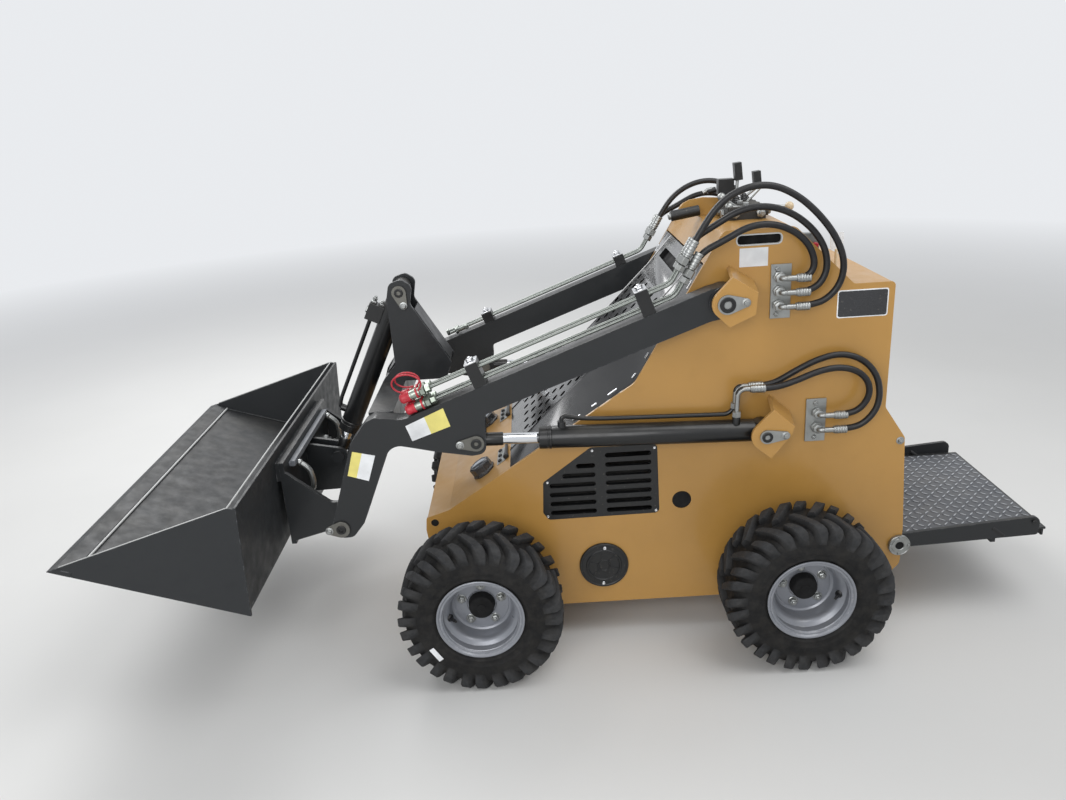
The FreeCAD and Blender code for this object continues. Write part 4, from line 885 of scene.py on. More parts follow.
def rim(end, hand):
    """Dished rim with rolled edges, its hub, wheel bolts and valve."""
    centre, axis = wheel_centre(end, hand), Vector((0, dict(SIDES)[hand], 0))
    lead, valve = (0.0, radians(100)) if end == "front" else (radians(10), radians(-98))
    bm = bmesh.new()
    lathe(bm, centre, axis, RIM_PROFILE, 96)
    # Hub and the disc behind it in the deep shade material: painted shade that makes the rim's middle a
    # dark hole
    lathe(bm, centre, axis, HUB_PROFILE, 48, 1)
    lathe(bm, centre, axis, [(70, -14), (70, -25.5), (36, -25.5), (20, -26), (20, -60)], 48, 1)
    for i in range(WHEEL_BOLTS):
        a = 2 * pi * i / WHEEL_BOLTS + lead
        out = Vector((sin(a), 0, cos(a)))
        seat = centre + out * WHEEL_BOLT_R + axis * -6.2
        lathe(bm, seat, axis, [(0, 0), (13.5, 0), (13.5, 1), (12.2, 2), (0, 2)], 24, 2)
        hex_nut(bm, seat + axis * 2, axis, 17, 9, a, 2)
        lathe(bm, seat + axis * 10.5, axis, [(0, 0), (5, 0), (5, 3.4), (4, 4.2), (0, 4.2)], 14, 2)
    out = Vector((sin(valve), 0, cos(valve)))
    foot = centre + out * (RIM_R - 31) + axis * 33
    lathe(bm, foot, axis * 0.8 - out * 0.6, [
        (0, -1.5), (10.5, -1.5), (10.5, 1.5), (7.5, 3.2), (5.2, 5), (4.6, 22), (3.8, 23),
        (3.8, 31), (0, 31)], 18, 3)
    name = "rim_%s_%s" % (end, hand)
    made = piece(name + "_dressed", bm, [PAINT_RIM, SHADE, ZINC, HOSE],
                 "wheel_%s_%s" % (end, hand), 28)
    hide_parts(name)


# Hood. It stands above the side panels as a raised cover with slanting sides.

HOOD_RIDGE = [(-192.0, 1089.0), (-118.0, 1005.0), (341.0, 557.0)]
HOOD_FOOT = [(-192.0, 1089.0), (-10.0, 783.0), (341.0, 556.0)]
NOSE_TOP = (386.0, 527.0)
LAMP_SLOPE = [(385.0, 527.5), (522.0, 439.0)]
HOOD_HALF = 200.0
HOOD_OUT = 290.5
HOLE_ACROSS = 66.0
HOLE_ROW = 31.0
HOLE_FIRST = 29.5        # upper side of the first row of holes, down the long slope
HOLE_ROWS = 18
HOLE_R = 10.5
SHEET_T = 3.0
HOOD_SLOT = (38.0, 70.0)     # edges of the slot, down the short slope
HOOD_SLOT_HALF = 152.0
HOOD_COS = 0.7157        # along X for each millimetre down the long slope
HOOD_TAPER = 0.14 / 641
# Painted glints, bright dashes near the foot of the sides: station and run
HOOD_GLINTS = [(-166, 13), (-128, 10), (-92, 14), (-50, 9), (-16, 12), (36, 26), (92, 15),
               (138, 22), (180, 14)]


def level(line, x):
    """Height of a line of (x, z) points at an x."""
    for (x0, z0), (x1, z1) in zip(line, line[1:]):
        if x <= x1:
            return z0 + (z1 - z0) * (x - x0) / (x1 - x0)
    return line[-1][1]


def slope_frame(start, end):
    """Matrix whose X runs down a slope, Y across it and Z out of it, and its length."""
    start, end = Vector((start[0], 0, start[1])), Vector((end[0], 0, end[1]))
    down = (end - start).normalized()
    across = Vector((0, 1, 0))
    out = down.cross(across)
    turn = Matrix((down, across, out)).transposed().to_4x4()
    return Matrix.Translation(start) @ turn, (end - start).length


def narrowing(s):
    """Share of its upper width that the raised hood has, down the long slope."""
    return 1 - HOOD_TAPER * max(0.0, s)


def punched(bm, turn, s, y):
    """Rectangle of sheet with one round hole in it."""
    half_s, half_y = HOLE_ROW / 2, HOLE_ACROSS / 2
    corner = atan2(half_s, half_y)
    step = (pi / 2 - corner) / 3
    first = [0.0, corner / 2, corner, corner + step, corner + 2 * step, pi / 2]
    upper = first + [pi - a for a in first[-2::-1]]
    under = Vector((0, 0, SHEET_T))
    rim, edge, below, sunk = rings = [], [], [], []
    for a in upper + [2 * pi - a for a in upper[-2:0:-1]]:
        ray = Vector((sin(a), cos(a), 0))
        reach = min(half_y / max(abs(cos(a)), 1e-6), half_s / max(abs(sin(a)), 1e-6))
        out = s + ray.x * reach
        side = Vector((out, (y + ray.y * reach) * narrowing(out), 0))
        bore = Vector((s, y * narrowing(s), 0)) + ray * HOLE_R
        for ring, spot in zip(rings, (side, bore, side - under, bore - under)):
            ring.append(bm.verts.new(turn @ spot))
    for i in range(len(rim)):
        j = (i + 1) % len(rim)
        for outer, inner in ((rim, edge), (edge, sunk), (sunk, below)):
            bm.faces.new((outer[i], inner[i], inner[j], outer[j]))


def skin(bm, corners):
    """Face of sheet metal with the face behind it."""
    corners = [Vector(c) for c in corners]
    back = (corners[1] - corners[0]).cross(corners[-1] - corners[0]).normalized() * SHEET_T
    bm.faces.new([bm.verts.new(c) for c in corners])
    bm.faces.new([bm.verts.new(c - back) for c in corners[::-1]])


def flat(bm, turn, s, y):
    """Plain piece of sheet on a slope."""
    skin(bm, [turn @ Vector((a, b * narrowing(a), 0)) for a, b in rectangle(*s, *y)])


def hood_side(x, side):
    """Upper and lower point of the raised hood's slanting side at an x."""
    half = HOOD_HALF * narrowing((x - HOOD_RIDGE[1][0]) / HOOD_COS)
    return (Vector((x, side * half, level(HOOD_RIDGE, x))),
            Vector((x, side * HOOD_OUT, level(HOOD_FOOT, x))))


def hood_holes(sheet, turn, length):
    """Long slope of the hood, with rows of six and of five round holes in turn."""
    for row in range(HOLE_ROWS):
        s = HOLE_FIRST + (row + 0.5) * HOLE_ROW
        count = (6, 5)[row % 2]
        for k in range(count):
            punched(sheet, turn, s, (k - (count - 1) / 2) * HOLE_ACROSS)
        reach = count * HOLE_ACROSS / 2
        for y in ((-HOOD_HALF, -reach), (reach, HOOD_HALF)):
            flat(sheet, turn, (s - HOLE_ROW / 2, s + HOLE_ROW / 2), y)
    last = HOLE_FIRST + HOLE_ROWS * HOLE_ROW
    for s in ((0, HOLE_FIRST), (last, length)):
        flat(sheet, turn, s, (-HOOD_HALF, HOOD_HALF))


def hood_slot(sheet, trim, turn, length):
    """Short slope of the hood round its slot, and a shallow dark tray of painted shade behind the slot.
    """
    low, high = HOOD_SLOT
    half, slot = HOOD_HALF, HOOD_SLOT_HALF
    for s, y in (((0, low), (-half, half)), ((high, length), (-half, half)),
                 ((low, high), (-half, -slot)), ((low, high), (slot, half))):
        skin(sheet, [turn @ Vector((a, b, 0)) for a, b in rectangle(*s, *y)])
    # Tray and its walls in the deep shade material: painted shade behind the slot
    block(trim, (low - 3, high + 3), (-slot - 3, slot + 3), (-17, -15), 1, turn)
    for s in (low - 2, high + 1):
        block(trim, (s, s + 1), (-slot - 3, slot + 3), (-15, -1), 1, turn)
    for y in (-slot - 2, slot + 1):
        block(trim, (low - 2, high + 2), (y, y + 1), (-15, -1), 1, turn)


def hood_sides(sheet, trim):
    """Slanting sides of the hood, with a round top edge and bright dashes of painted glint at the foot.
    """
    stations = [-192, -174, -156, -138, -118, -90, -60, -35, -10, 40, 100, 160, 220, 280, 341]
    for side in (-1, 1):
        edges = [hood_side(x, side) for x in stations]
        rows = [[top.lerp(foot, t) for t in (0.0, 0.04, 0.5, 0.96, 1.0)] for top, foot in edges]
        for inward in (0, SHEET_T):
            grid = [[sheet.verts.new(p - Vector((0, side * inward, 0))) for p in row]
                    for row in rows]
            for near, far in zip(grid, grid[1:]):
                bridge(sheet, near, far, closed=False)
        sweep(trim, [top + Vector((0, -2 * side, -1.2)) for top, _ in edges], 3.2, 8)
        # Bright steel dashes: painted glints along the foot
        for x, run in HOOD_GLINTS:
            start, end = (foot.lerp(top, 0.10) + Vector((0, side * 1.6, 1.6))
                          for top, foot in (hood_side(x, side), hood_side(x + run, side)))
            bar(trim, start, end, 2.3, 10, 2, 1.6)


def hood():
    """Raised hood with round holes, its slanting sides and dark sheets of painted shade below."""
    sheet, trim, nose = bmesh.new(), bmesh.new(), bmesh.new()
    turn, length = slope_frame(HOOD_RIDGE[1], HOOD_RIDGE[2])
    hood_holes(sheet, turn, length)
    upper, short = slope_frame(HOOD_RIDGE[0], HOOD_RIDGE[1])
    hood_slot(sheet, trim, upper, short)
    hood_sides(sheet, trim)
    # Dark sheets in the deep shade material under both slopes: painted shade seen through the holes
    block(trim, (4, length), (-176, 176), (-28, -26), 1, turn)
    block(trim, (0, short), (-190, 190), (-28, -26), 1, upper)
    made = piece("hood_raised", sheet, [PAINT_HOOD], "chassis", 30)
    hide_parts("hood_cover")
    piece("hood_trim", trim, [PAINT_HOOD, SHADE, BRIGHT], "chassis", 30)
    turn, length = slope_frame(HOOD_FOOT[2], NOSE_TOP)
    block(nose, (0, length + 1), (-291, 291), (-5, 0.6), 0, turn)
    piece("nose_upper", nose, [PAINT_GOLD], "chassis", 30, 0.8)


HINGE_Y = 170.0          # middle of a hood hinge, on either side
HINGE_PITCH = 36.0


def hood_hinges():
    """Two hinges below the hood's end: a leaf with three screws and its knuckle."""
    leaf, dark = bmesh.new(), bmesh.new()
    turn, _ = slope_frame(HOOD_FOOT[2], NOSE_TOP)
    out = turn.to_3x3() @ Vector((0, 0, 1))
    for side in (-1, 1):
        y = side * HINGE_Y
        block(leaf, (17, 46), (y - 50, y + 50), (0.6, 3.2), 0, turn)
        for i in (-1, 0, 1):
            spot = turn @ Vector((35, y + i * HINGE_PITCH, 3.2))
            socket_screw(dark, spot, out, 6.5, 4.5)
        bar(dark, turn @ Vector((12, y - 46, 6)), turn @ Vector((12, y + 46, 6)), 5.2, 16)
        bar(dark, turn @ Vector((12, y + 28, 6)), turn @ Vector((12, y + 44, 6)), 8.0, 20)
    piece("hinge_leaves", leaf, [ZINC], "chassis", 30, 0.5)
    piece("hinge_knuckles", dark, [PAINT_BLACK], "chassis", 30)


# Bolts, pins and labels

KEEPER = (361.3, 367.3)      # faces of a keeper plate on an arm
LIFT_BOLT = (466.0, 662.0)
BUCKET_BOLT = (848.0, 430.0)


def teardrop(a, big, b, small):
    """Outline round a big and a small circle."""
    run = Vector((b[0] - a[0], b[1] - a[1]))
    lead = atan2(run.y, run.x)
    open_by = acos((big - small) / run.length)
    ring, steps = [], 14
    for centre, radius, start, end in ((b, small, lead - open_by, lead + open_by),
                                       (a, big, lead + open_by, lead + 2 * pi - open_by)):
        for i in range(steps + 1):
            t = start + (end - start) * i / steps
            ring.append((centre[0] + radius * cos(t), centre[1] + radius * sin(t)))
    return ring


def keepers():
    """Pins in the arms and the plates that hold them."""
    bm = bmesh.new()
    for way in (1, -1):
        for eye, radius, bolt in ((LIFT_EYE, 22, LIFT_BOLT), (BUCKET_PIN, 24, BUCKET_BOLT)):
            prism(bm, teardrop(eye, radius, bolt, 11), way * KEEPER[0], way * KEEPER[1])
        for y0, y1 in ((306, 311), (359, 368)):
            x, z = LIFT_EYE
            bar(bm, (x, way * y0, z), (x, way * y1, z), 13.9, 32)
    made = piece("arm_keepers", bm, [DULL], "boom", 30, 1.0)
    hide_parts("arm_pins")


# Columns: body, pin, radius, face of the keeper, its bolt, sides
PIN_ENDS = [
    ("chassis", BOOM_PIN, 20.0, 391.3, (-282.0, 1008.0), (1, -1)),
    ("chassis", LIFT_BASE, 14.0, 391.3, (-394.0, 643.0), (1, -1)),
    ("boom", LIFT_EYE, 14.0, KEEPER[1], LIFT_BOLT, (1, -1)),
    ("boom", BUCKET_PIN, 13.0, KEEPER[1], BUCKET_BOLT, (1, -1)),
    ("boom", TILT_BASE, 12.5, 59.3, (622.0, 978.0), (1,)),
]


def pin_ends():
    """Pin ends with a sunk centre, and the bolts of their keepers."""
    for body in ("chassis", "boom"):
        steel, dark = bmesh.new(), bmesh.new()
        for owner, (x, z), radius, face, (bolt_x, bolt_z), ways in PIN_ENDS:
            for way in ways if owner == body else ():
                axis = (0, way, 0)
                seat = (x, way * face, z)
                lathe(dark, seat, axis, [
                    (0, 0), (radius + 0.3, 0), (radius + 0.3, 2.4), (radius - 1.2, 3.6),
                    (radius * 0.52, 3.6)], 40)
                lathe(dark, seat, axis, [(radius * 0.52, 3.6), (radius * 0.46, 0.6), (0, 0.6)], 6)
                hex_bolt(steel, (bolt_x, way * face, bolt_z), axis, 13, 6.5, True, 0)
                spot = Vector((bolt_x, way * (face + 8.1), bolt_z))
                lathe(steel, spot, axis, [(0, 0), (5.2, 0), (5.2, 0.5), (0, 0.5)], 20)
        piece("pin_ends_" + body, dark, [PAINT_BLACK], body, 30, 0.3)
        piece("keeper_bolts_" + body, steel, [ZINC], body, 30, 0.3)


def label(name, corners, y, material, body, thick=0.5):
    """Thin blank plate or sticker on a face square to Y."""
    bm = bmesh.new()
    prism(bm, [tuple(c) for c in corners], y, y + thick)
    piece(name, bm, [material], body, 30)


def rounded(corners, radius, steps=4):
    """Outline of (x, z) corners with its corners rounded."""
    ring = []
    corners = [Vector(c) for c in corners]
    for before, corner, after in zip(corners[-1:] + corners, corners, corners[1:] + corners[:1]):
        u, v = (before - corner).normalized(), (after - corner).normalized()
        ring += bend(corner + u * radius, corner, corner + v * radius, steps)
    return [tuple(p) for p in ring]


VENT_SCREWS = [(244.0, 400.0), (-62.0, 400.0), (-60.0, 593.0), (112.0, 595.0), (240.0, 506.0)]


def side_details():
    """Rings and spokes on the round caps, and the screws of the caps and vents."""
    cap_x, cap_z = 91.0, 235.0
    for hand, way in SIDES:
        bm = bmesh.new()
        axis = (0, way, 0)
        face = way * (PANEL_Y + 7)
        lathe(bm, (cap_x, face, cap_z), axis, [
            (0, 0.6), (14, 0.6), (15, 2.2), (18, 2.2), (19, 0.6), (44, 0.6), (45.5, 2.6), (50, 2.6),
            (51.5, 0.6), (63, 0.6), (64.5, 1.8), (69, 1.4), (70.4, -0.5), (70.6, -6.5)], 72)
        for k in range(6):
            a = 2 * pi * k / 6 + 0.3
            out, side = Vector((cos(a), sin(a))), Vector((-sin(a), cos(a))) * 2.2
            corners = (out * 19 - side, out * 44 - side, out * 44 + side, out * 19 + side)
            prism(bm, [(cap_x + c.x, cap_z + c.y) for c in corners], face, face + way * 2)
        piece("cap_rings_" + hand, bm, [PLASTIC], "chassis", 30, 0.3)
        bm = bmesh.new()
        for dz in (-57, 57):
            socket_screw(bm, (cap_x - dz * 0.06, face + way, cap_z + dz), axis, 5.5, 3)
        for x, z in VENT_SCREWS:
            socket_screw(bm, (x, way * PANEL_Y, z), axis, 4.2, 2.4)
        piece("cap_screws_" + hand, bm, [BRIGHT], "chassis", 30)


def lamps():
    """Lenses, reflectors and bezels in the two head lamps."""
    (x0, z0), (x1, z1) = LAMP_SLOPE
    _, _, out = line_frame(*LAMP_SLOPE)
    glass, dark = bmesh.new(), bmesh.new()
    for y in (195.0, -195.0):
        foot = Vector((420.0, y, z0 + (420 - x0) * (z1 - z0) / (x1 - x0)))
        top = foot + out * 30.3
        r = 33.0
        lathe(dark, foot + out * 0.3, out, [
            (r + 4, 0), (r + 4, 6), (r + 1, 8), (r + 1, 28), (r - 2, 31), (r - 7, 31),
            (r - 8, 29)], 8, 0, pi / 8)
        lathe(glass, top - out * 1.6, out, [(r - 7, 0), (r - 7, 1.2), (r - 12, 2.0), (0, 2.6)], 8,
              0, pi / 8)
    piece("lamp_bezels", dark, [LAMP], "chassis", 24, 0.6)
    piece("lamp_lenses", glass, [LENS], "chassis", 24)


def tilt_hardware():
    """Nuts and elbows of the tilt cylinder."""
    bm = bmesh.new()
    start, ahead, up = line_frame(TILT_BASE, TILT_EYE)
    for square, tall in ((36.0, 10.0), (60.0, 16.0)):
        foot = start + ahead * 70 + up * square
        hex_nut(bm, foot, -ahead, 17, 7, 0.2)
        hex_nut(bm, foot - ahead * 7, -ahead, 14, tall - 6, 0.5)
        bar(bm, foot - ahead * 8, foot - ahead * (tall + 6), 4.5, 14)
    hex_nut(bm, start + ahead * 95 + up * 70, up, 19, 5, 0.2)
    piece("tilt_fittings", bm, [ZINC], "tilt_barrel", 35)


# Columns: cylinder, pin, eye, its place across, barrel's radius and end, length of the neck
CYLINDERS = [
    ("lift_%s_left", LIFT_BASE, LIFT_EYE, ARM_Y, 30.5, 601.0, 52.0),
    ("lift_%s_right", LIFT_BASE, LIFT_EYE, -ARM_Y, 30.5, 601.0, 52.0),
    ("tilt_%s", TILT_BASE, TILT_EYE, 0.0, 31.0, 478.0, 36.0),
]


def cylinder_ends():
    """Gland rings on the barrels, and black sleeves between the rods and their eyes."""
    for name, base, eye, y, radius, end, neck in CYLINDERS:
        start, ahead, _ = line_frame(base, eye, y)
        barrel, rod = name % "barrel", name % "rod"
        bm = bmesh.new()
        lathe(bm, start + ahead * (end - 34), ahead, [
            (radius - 0.2, 0), (radius + 1.4, 1.5), (radius + 1.4, 7), (radius - 0.2, 8.5),
            (radius - 0.2, 11), (radius + 0.8, 12), (radius + 0.8, 33), (radius - 1.5, 34.4),
            (17.5, 34.4), (16.8, 33)], 48)
        piece(barrel + "_gland", bm, [PAINT_BLACK], barrel, 30)
        bm = bmesh.new()
        lathe(bm, Vector((eye[0], y, eye[1])) - ahead * 20, -ahead, [
            (17, -4), (18.2, -3), (18.2, neck - 4), (16.7, neck), (14.4, neck)], 40)
        piece(rod + "_neck", bm, [PAINT_BLACK], rod, 30)


def halves(corners, share):
    """Two parts of a four-cornered sticker, parted at a share of its first side."""
    a, b, c, d = (Vector(p) for p in corners)
    e, f = a.lerp(b, share), d.lerp(c, share)
    return (a, e, f, d), (e, b, c, f)


def labels():
    """Blank stickers and plates on the left side, the left arm and a tyre."""
    label("panel_label", rectangle(-357, -284, 1079, 1127), PANEL_Y, LABEL, "chassis")
    label("data_plate_border", rounded(rectangle(-674, -541, 928, 1002), 7), PANEL_Y, LABEL,
          "chassis", 0.6)
    label("data_plate", rounded(rectangle(-671, -544, 931, 999), 6), PANEL_Y + 0.6, LAMP,
          "chassis")
    white, yellow = halves(((606, 724), (502, 768), (487, 716), (592, 680)), 0.5)
    label("arm_label_white", white, ARM_OUT, LABEL, "boom")
    label("arm_label_yellow", yellow, ARM_OUT, YELLOW, "boom")
    yellow, white = halves(((756, 660), (696, 645), (722, 572), (777, 591)), 0.42)
    label("leg_label_yellow", yellow, ARM_OUT, YELLOW, "boom")
    label("leg_label_white", white, ARM_OUT, LABEL, "boom")
    middle, along, across = Vector((566, 128.5)), Vector((0.54, 0.84)), Vector((0.84, -0.54))
    corners = [middle + along * p + across * q for p, q in rectangle(-22, 22, -7, 7)]
    label("tyre_label", corners, 534.8, LABEL, "wheel_front_left", 1.0)


def slot_rims():
    """Edges of the hand slots coloured pale as a painted highlight, with a dark block of painted shade
    behind them.
    """
    bm = bmesh.new()
    wide = rounded(rectangle(-393.4, -274.6, 1132.5, 1162.5), 14.8, 6)
    small = rounded(rectangle(-390.0, -278.0, 1135.9, 1159.1), 11.4, 6)
    for way in (1, -1):
        # Pale rims: a painted highlight on the slots' edges
        rings = [[bm.verts.new((x, way * y, z)) for x, z in outline] for y, outline in (
            (292.2, wide), (300.1, wide), (300.1, small), (292.2, small))]
        for lower, upper in zip(rings, rings[1:] + rings[:1]):
            bridge(bm, lower, upper)
        # Dark block behind the slot: painted shade
        block(bm, (-404, -264), (way * 284, way * 286), (1122, 1168), 1)
    piece("slot_rims", bm, [PALE_EDGE, SHADE], "chassis", 30)


REAR_X = node_box("rear_wall")[0].x     # outer face of the rear wall


def side_holes():
    """Dark discs of painted shade that close the drain holes, and the rings of the tie-down holes round
    discs of painted shade.
    """
    bm, ring = bmesh.new(), bmesh.new()
    for way in (1, -1):
        axis = (0, way, 0)
        # Drain hole: a disc of painted shade
        lathe(bm, (-135, way * (PANEL_Y - 2.6), 428), axis, [(0, 0), (26.9, 0), (26.9, 0.6)], 40)
        seat = (565, way * PANEL_Y, 402)
        lathe(ring, seat, axis, [(11, 0), (14, 0), (13.4, 1.6), (11.6, 1.6), (11, 0.6), (11, 0)], 36)
        # Tie-down hole: a disc of painted shade inside the ring
        lathe(ring, seat, axis, [(0, 0), (11.2, 0), (11.2, 0.5), (0, 0.5)], 36, 1)
    piece("hole_shades", bm, [SHADE], "chassis", 30)
    piece("tie_down_holes", ring, [PAINT_GOLD, SHADE], "chassis", 30)


def rear_door():
    """Screwed door in the rear wall, with louvres and a lock."""
    bm, steel, lock = bmesh.new(), bmesh.new(), bmesh.new()
    back = (-1, 0, 0)
    face = REAR_X - 3.4
    outline = rounded(rectangle(-226, 226, 322, 868), 14, 5)
    loft(bm, [[bm.verts.new((x, y, z)) for y, z in outline] for x in (REAR_X - 0.2, face)])
    for y, z in ((-208, 345), (208, 345), (-208, 595), (-208, 845), (208, 845), (0, 345), (0, 845)):
        socket_screw(steel, (face, y, z), back, 7, 4)
    for i in range(7):
        z = 742 + 14 * i
        block(bm, (REAR_X - 6.6, REAR_X - 3.3), (-90, 90), (z, z + 5))
    lathe(lock, (face, 205, 595), back, [(0, 0), (14, 0), (14, 1.6), (12.6, 3), (5, 3), (5, 1.4),
                                         (0, 1.4)], 32)
    piece("rear_door", bm, [PAINT_GOLD], "chassis", 30, 0.8)
    piece("rear_door_screws", steel, [ZINC], "chassis", 35)
    piece("rear_door_lock", lock, [DULL], "chassis", 40)


def coupler_levers():
    """Short bent locking handles on the coupler, and the worn bar across it."""
    bm = bmesh.new()
    for y in (190.0, -190.0):
        line = [(962, y, 474), (934, y, 474), (920, y, 492), (924, y, 534), (934, y, 552),
                (952, y, 566)]
        sweep(bm, smooth_line(line), 8.0, 18)
        ball(bm, (953, y, 567), 9.5)
        lathe(bm, (976, y, 482), (-1, 0, 0), [(0, 0), (17, 0), (17, 10), (14, 14), (9, 16), (0, 16)],
              28)
        hex_nut(bm, (960, y, 482), (-1, 0, 0), 17, 8)
    made = piece("locking_handles", bm, [ZINC], "attachment", 40)
    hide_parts("attach_levers")
    bm = bmesh.new()
    block(bm, (960, 975.5), (-214, 214), (566, 582))
    for y in (-214, 214):
        weld_bead(bm, (975, y, 567), (975, y, 581), 3, y)
    piece("coupler_bar", bm, [WORN], "attachment", 30, 1.0)


BUCKET_TIP = (1500.0, 486.0)
BUCKET_HEEL = (1013.0, 323.0)
BUCKET_TOP = (1000.0, 625.0)
BUCKET_LIP = (1022.0, 631.0)
EDGE_BACK = 62.0


BUCKET_WALL = 7.5
EDGE_TOP = 14.4      # top face of the cutting edge above the floor's underside


def bucket_body():
    """Bucket of bent plate with thin edges, its hook strip and welds."""
    heel, tip, top, lip = (Vector(p) for p in (BUCKET_HEEL, BUCKET_TIP, BUCKET_TOP, BUCKET_LIP))
    run, ahead, rise = (tip - heel).length, (tip - heel).normalized(), (top - heel).normalized()
    over = Vector((-ahead.y, ahead.x))
    seam, nose = heel + ahead * (run - EDGE_BACK), heel + ahead * (run - 22) + over * EDGE_TOP
    bm = bmesh.new()
    outer = [top + Vector((0, 4)), *bend(heel + rise * 26, heel, heel + ahead * 26, 6), seam]
    inner = []
    for before, spot, after in zip(outer[:1] + outer, outer, outer[1:] + outer[-1:]):
        way = (after - before).normalized()
        inner.append(spot + Vector((-way.y, way.x)) * BUCKET_WALL)
    for a, b, c, d in zip(outer, outer[1:], inner[1:], inner):
        prism(bm, [tuple(a), tuple(b), tuple(c), tuple(d)], -599, 599)
    side = [tuple(p) for p in (heel, seam, seam + over * EDGE_TOP, nose, lip, top)]
    prism(bm, side, -600, -592)
    prism(bm, side, 592, 600)
    block(bm, (990.5, 1006), (-260, 260), (540, 596))
    made = piece("bucket_plates", bm, [PAINT_BUCKET], "attachment", 30, 1.2)
    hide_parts("bucket")
    bm, welds = bmesh.new(), bmesh.new()
    spot = seam - ahead * 3 + over * 11
    weld_bead(bm, (spot.x, -590, spot.y), (spot.x, 590, spot.y), 3.4, 1.0)
    bar(bm, (lip.x - 1, -599, lip.y), (lip.x - 1, 599, lip.y), 2.2, 12)
    first, last = heel + Vector((24, 20)) + over * 2, seam + over * 9
    for way in (-1, 1):
        bar(bm, (nose.x - 8, way * 598, nose.y + 4), (lip.x, way * 598, lip.y), 1.4, 10)
        y = way * 589
        weld_bead(welds, (first.x, y, first.y), (last.x, y, last.y), 3.6, y)
        weld_bead(welds, (heel.x + 7, y, 350), (top.x + 9, y, 618), 3.6, y + 3)
    piece("edge_weld", bm, [PALE_EDGE], "attachment", 60)
    piece("side_welds", welds, [PAINT_BUCKET], "attachment", 60)


DECK = ((-1190.0, -795.0), (-262.0, 262.0), 256.0)
STUD_PITCH = 24.0


# Quarter outline of a stud along and across it, at its foot and at its top
STUD_FOOT = (15, 8, 3.2, 4.0)
STUD_TIP = (11, 6, 1.7, 2.2)


def deck_studs():
    """Raised bars of the chequered plate, turned one way and the other in turn."""
    bm = bmesh.new()
    (x0, x1), (y0, y1), z = DECK
    columns, rows = int((x1 - x0) / STUD_PITCH), int((y1 - y0) / STUD_PITCH)
    for i in range(columns):
        for k in range(rows):
            x, y = x0 + (i + 0.5) * (x1 - x0) / columns, y0 + (k + 0.5) * (y1 - y0) / rows
            turn = Matrix.Translation((x, y, z)) @ Matrix.Rotation(
                radians(45 if (i + k) % 2 else -45), 4, "Z")
            foot, top = (
                [bm.verts.new(turn @ Vector((a, b, level))) for a, b in (
                    (-end, 0), (-knee, side), (0, wide), (knee, side),
                    (end, 0), (knee, -side), (0, -wide), (-knee, -side))]
                for (end, knee, side, wide), level in ((STUD_FOOT, -0.2), (STUD_TIP, 2.6)))
            bridge(bm, foot, top)
            bm.faces.new(top).material_index = 1
            bm.faces.new(foot[::-1])
    block(bm, (x0, x1), (y0, y1), (z - 0.6, z + 0.2))
    piece("deck_studs", bm, [DECK_PAINT, STUD_TOP], "platform", 25)


def platform_hardware():
    """Bearing rings and bolts of the platform's hinges, and its rubber stops."""
    rings, centres, stops = bmesh.new(), bmesh.new(), bmesh.new()
    px, pz = PLATFORM_PIN
    for side in (1, -1):
        axis = (0, side, 0)
        seat = (px, side * 309.0, pz)
        lathe(rings, seat, axis, [
            (12, 1.5), (13.5, 2.6), (22, 2.6), (23, 1.0), (28, 1.0), (29.5, 2.0), (31, 1.0),
            (31, -8)], 48)
        for dx, dz in ((25.5, 0), (0, 25.5), (-25.5, 0), (0, -25.5)):
            hex_bolt(rings, (px + dx, side * 310.0, pz + dz), axis, 8, 3.4, False, 0)
        hex_bolt(rings, (-738, side * PANEL_Y, 569), axis, 13, 6, True, 2)
        lathe(centres, seat, axis, [(0, 1.0), (11.6, 1.0), (11.6, -1)], 32)
        bar(stops, (-1036, side * 279, 268), (-1071, side * 279, 240), 9, 20)
        bar(stops, (-1152, side * 286, 283), (-1152, side * 292, 283), 6, 16)
    piece("hinge_rings", rings, [ZINC], "chassis", 30)
    piece("hinge_centres", centres, [SHADE], "chassis", 30)
    piece("platform_stops", stops, [PAINT_BLACK], "platform", 40)


def ball(bm, centre, radius):
    rings = [(radius * sin(pi * i / 12), -radius * cos(pi * i / 12)) for i in range(13)]
    lathe(bm, centre, (0, 0, 1), rings, 24)


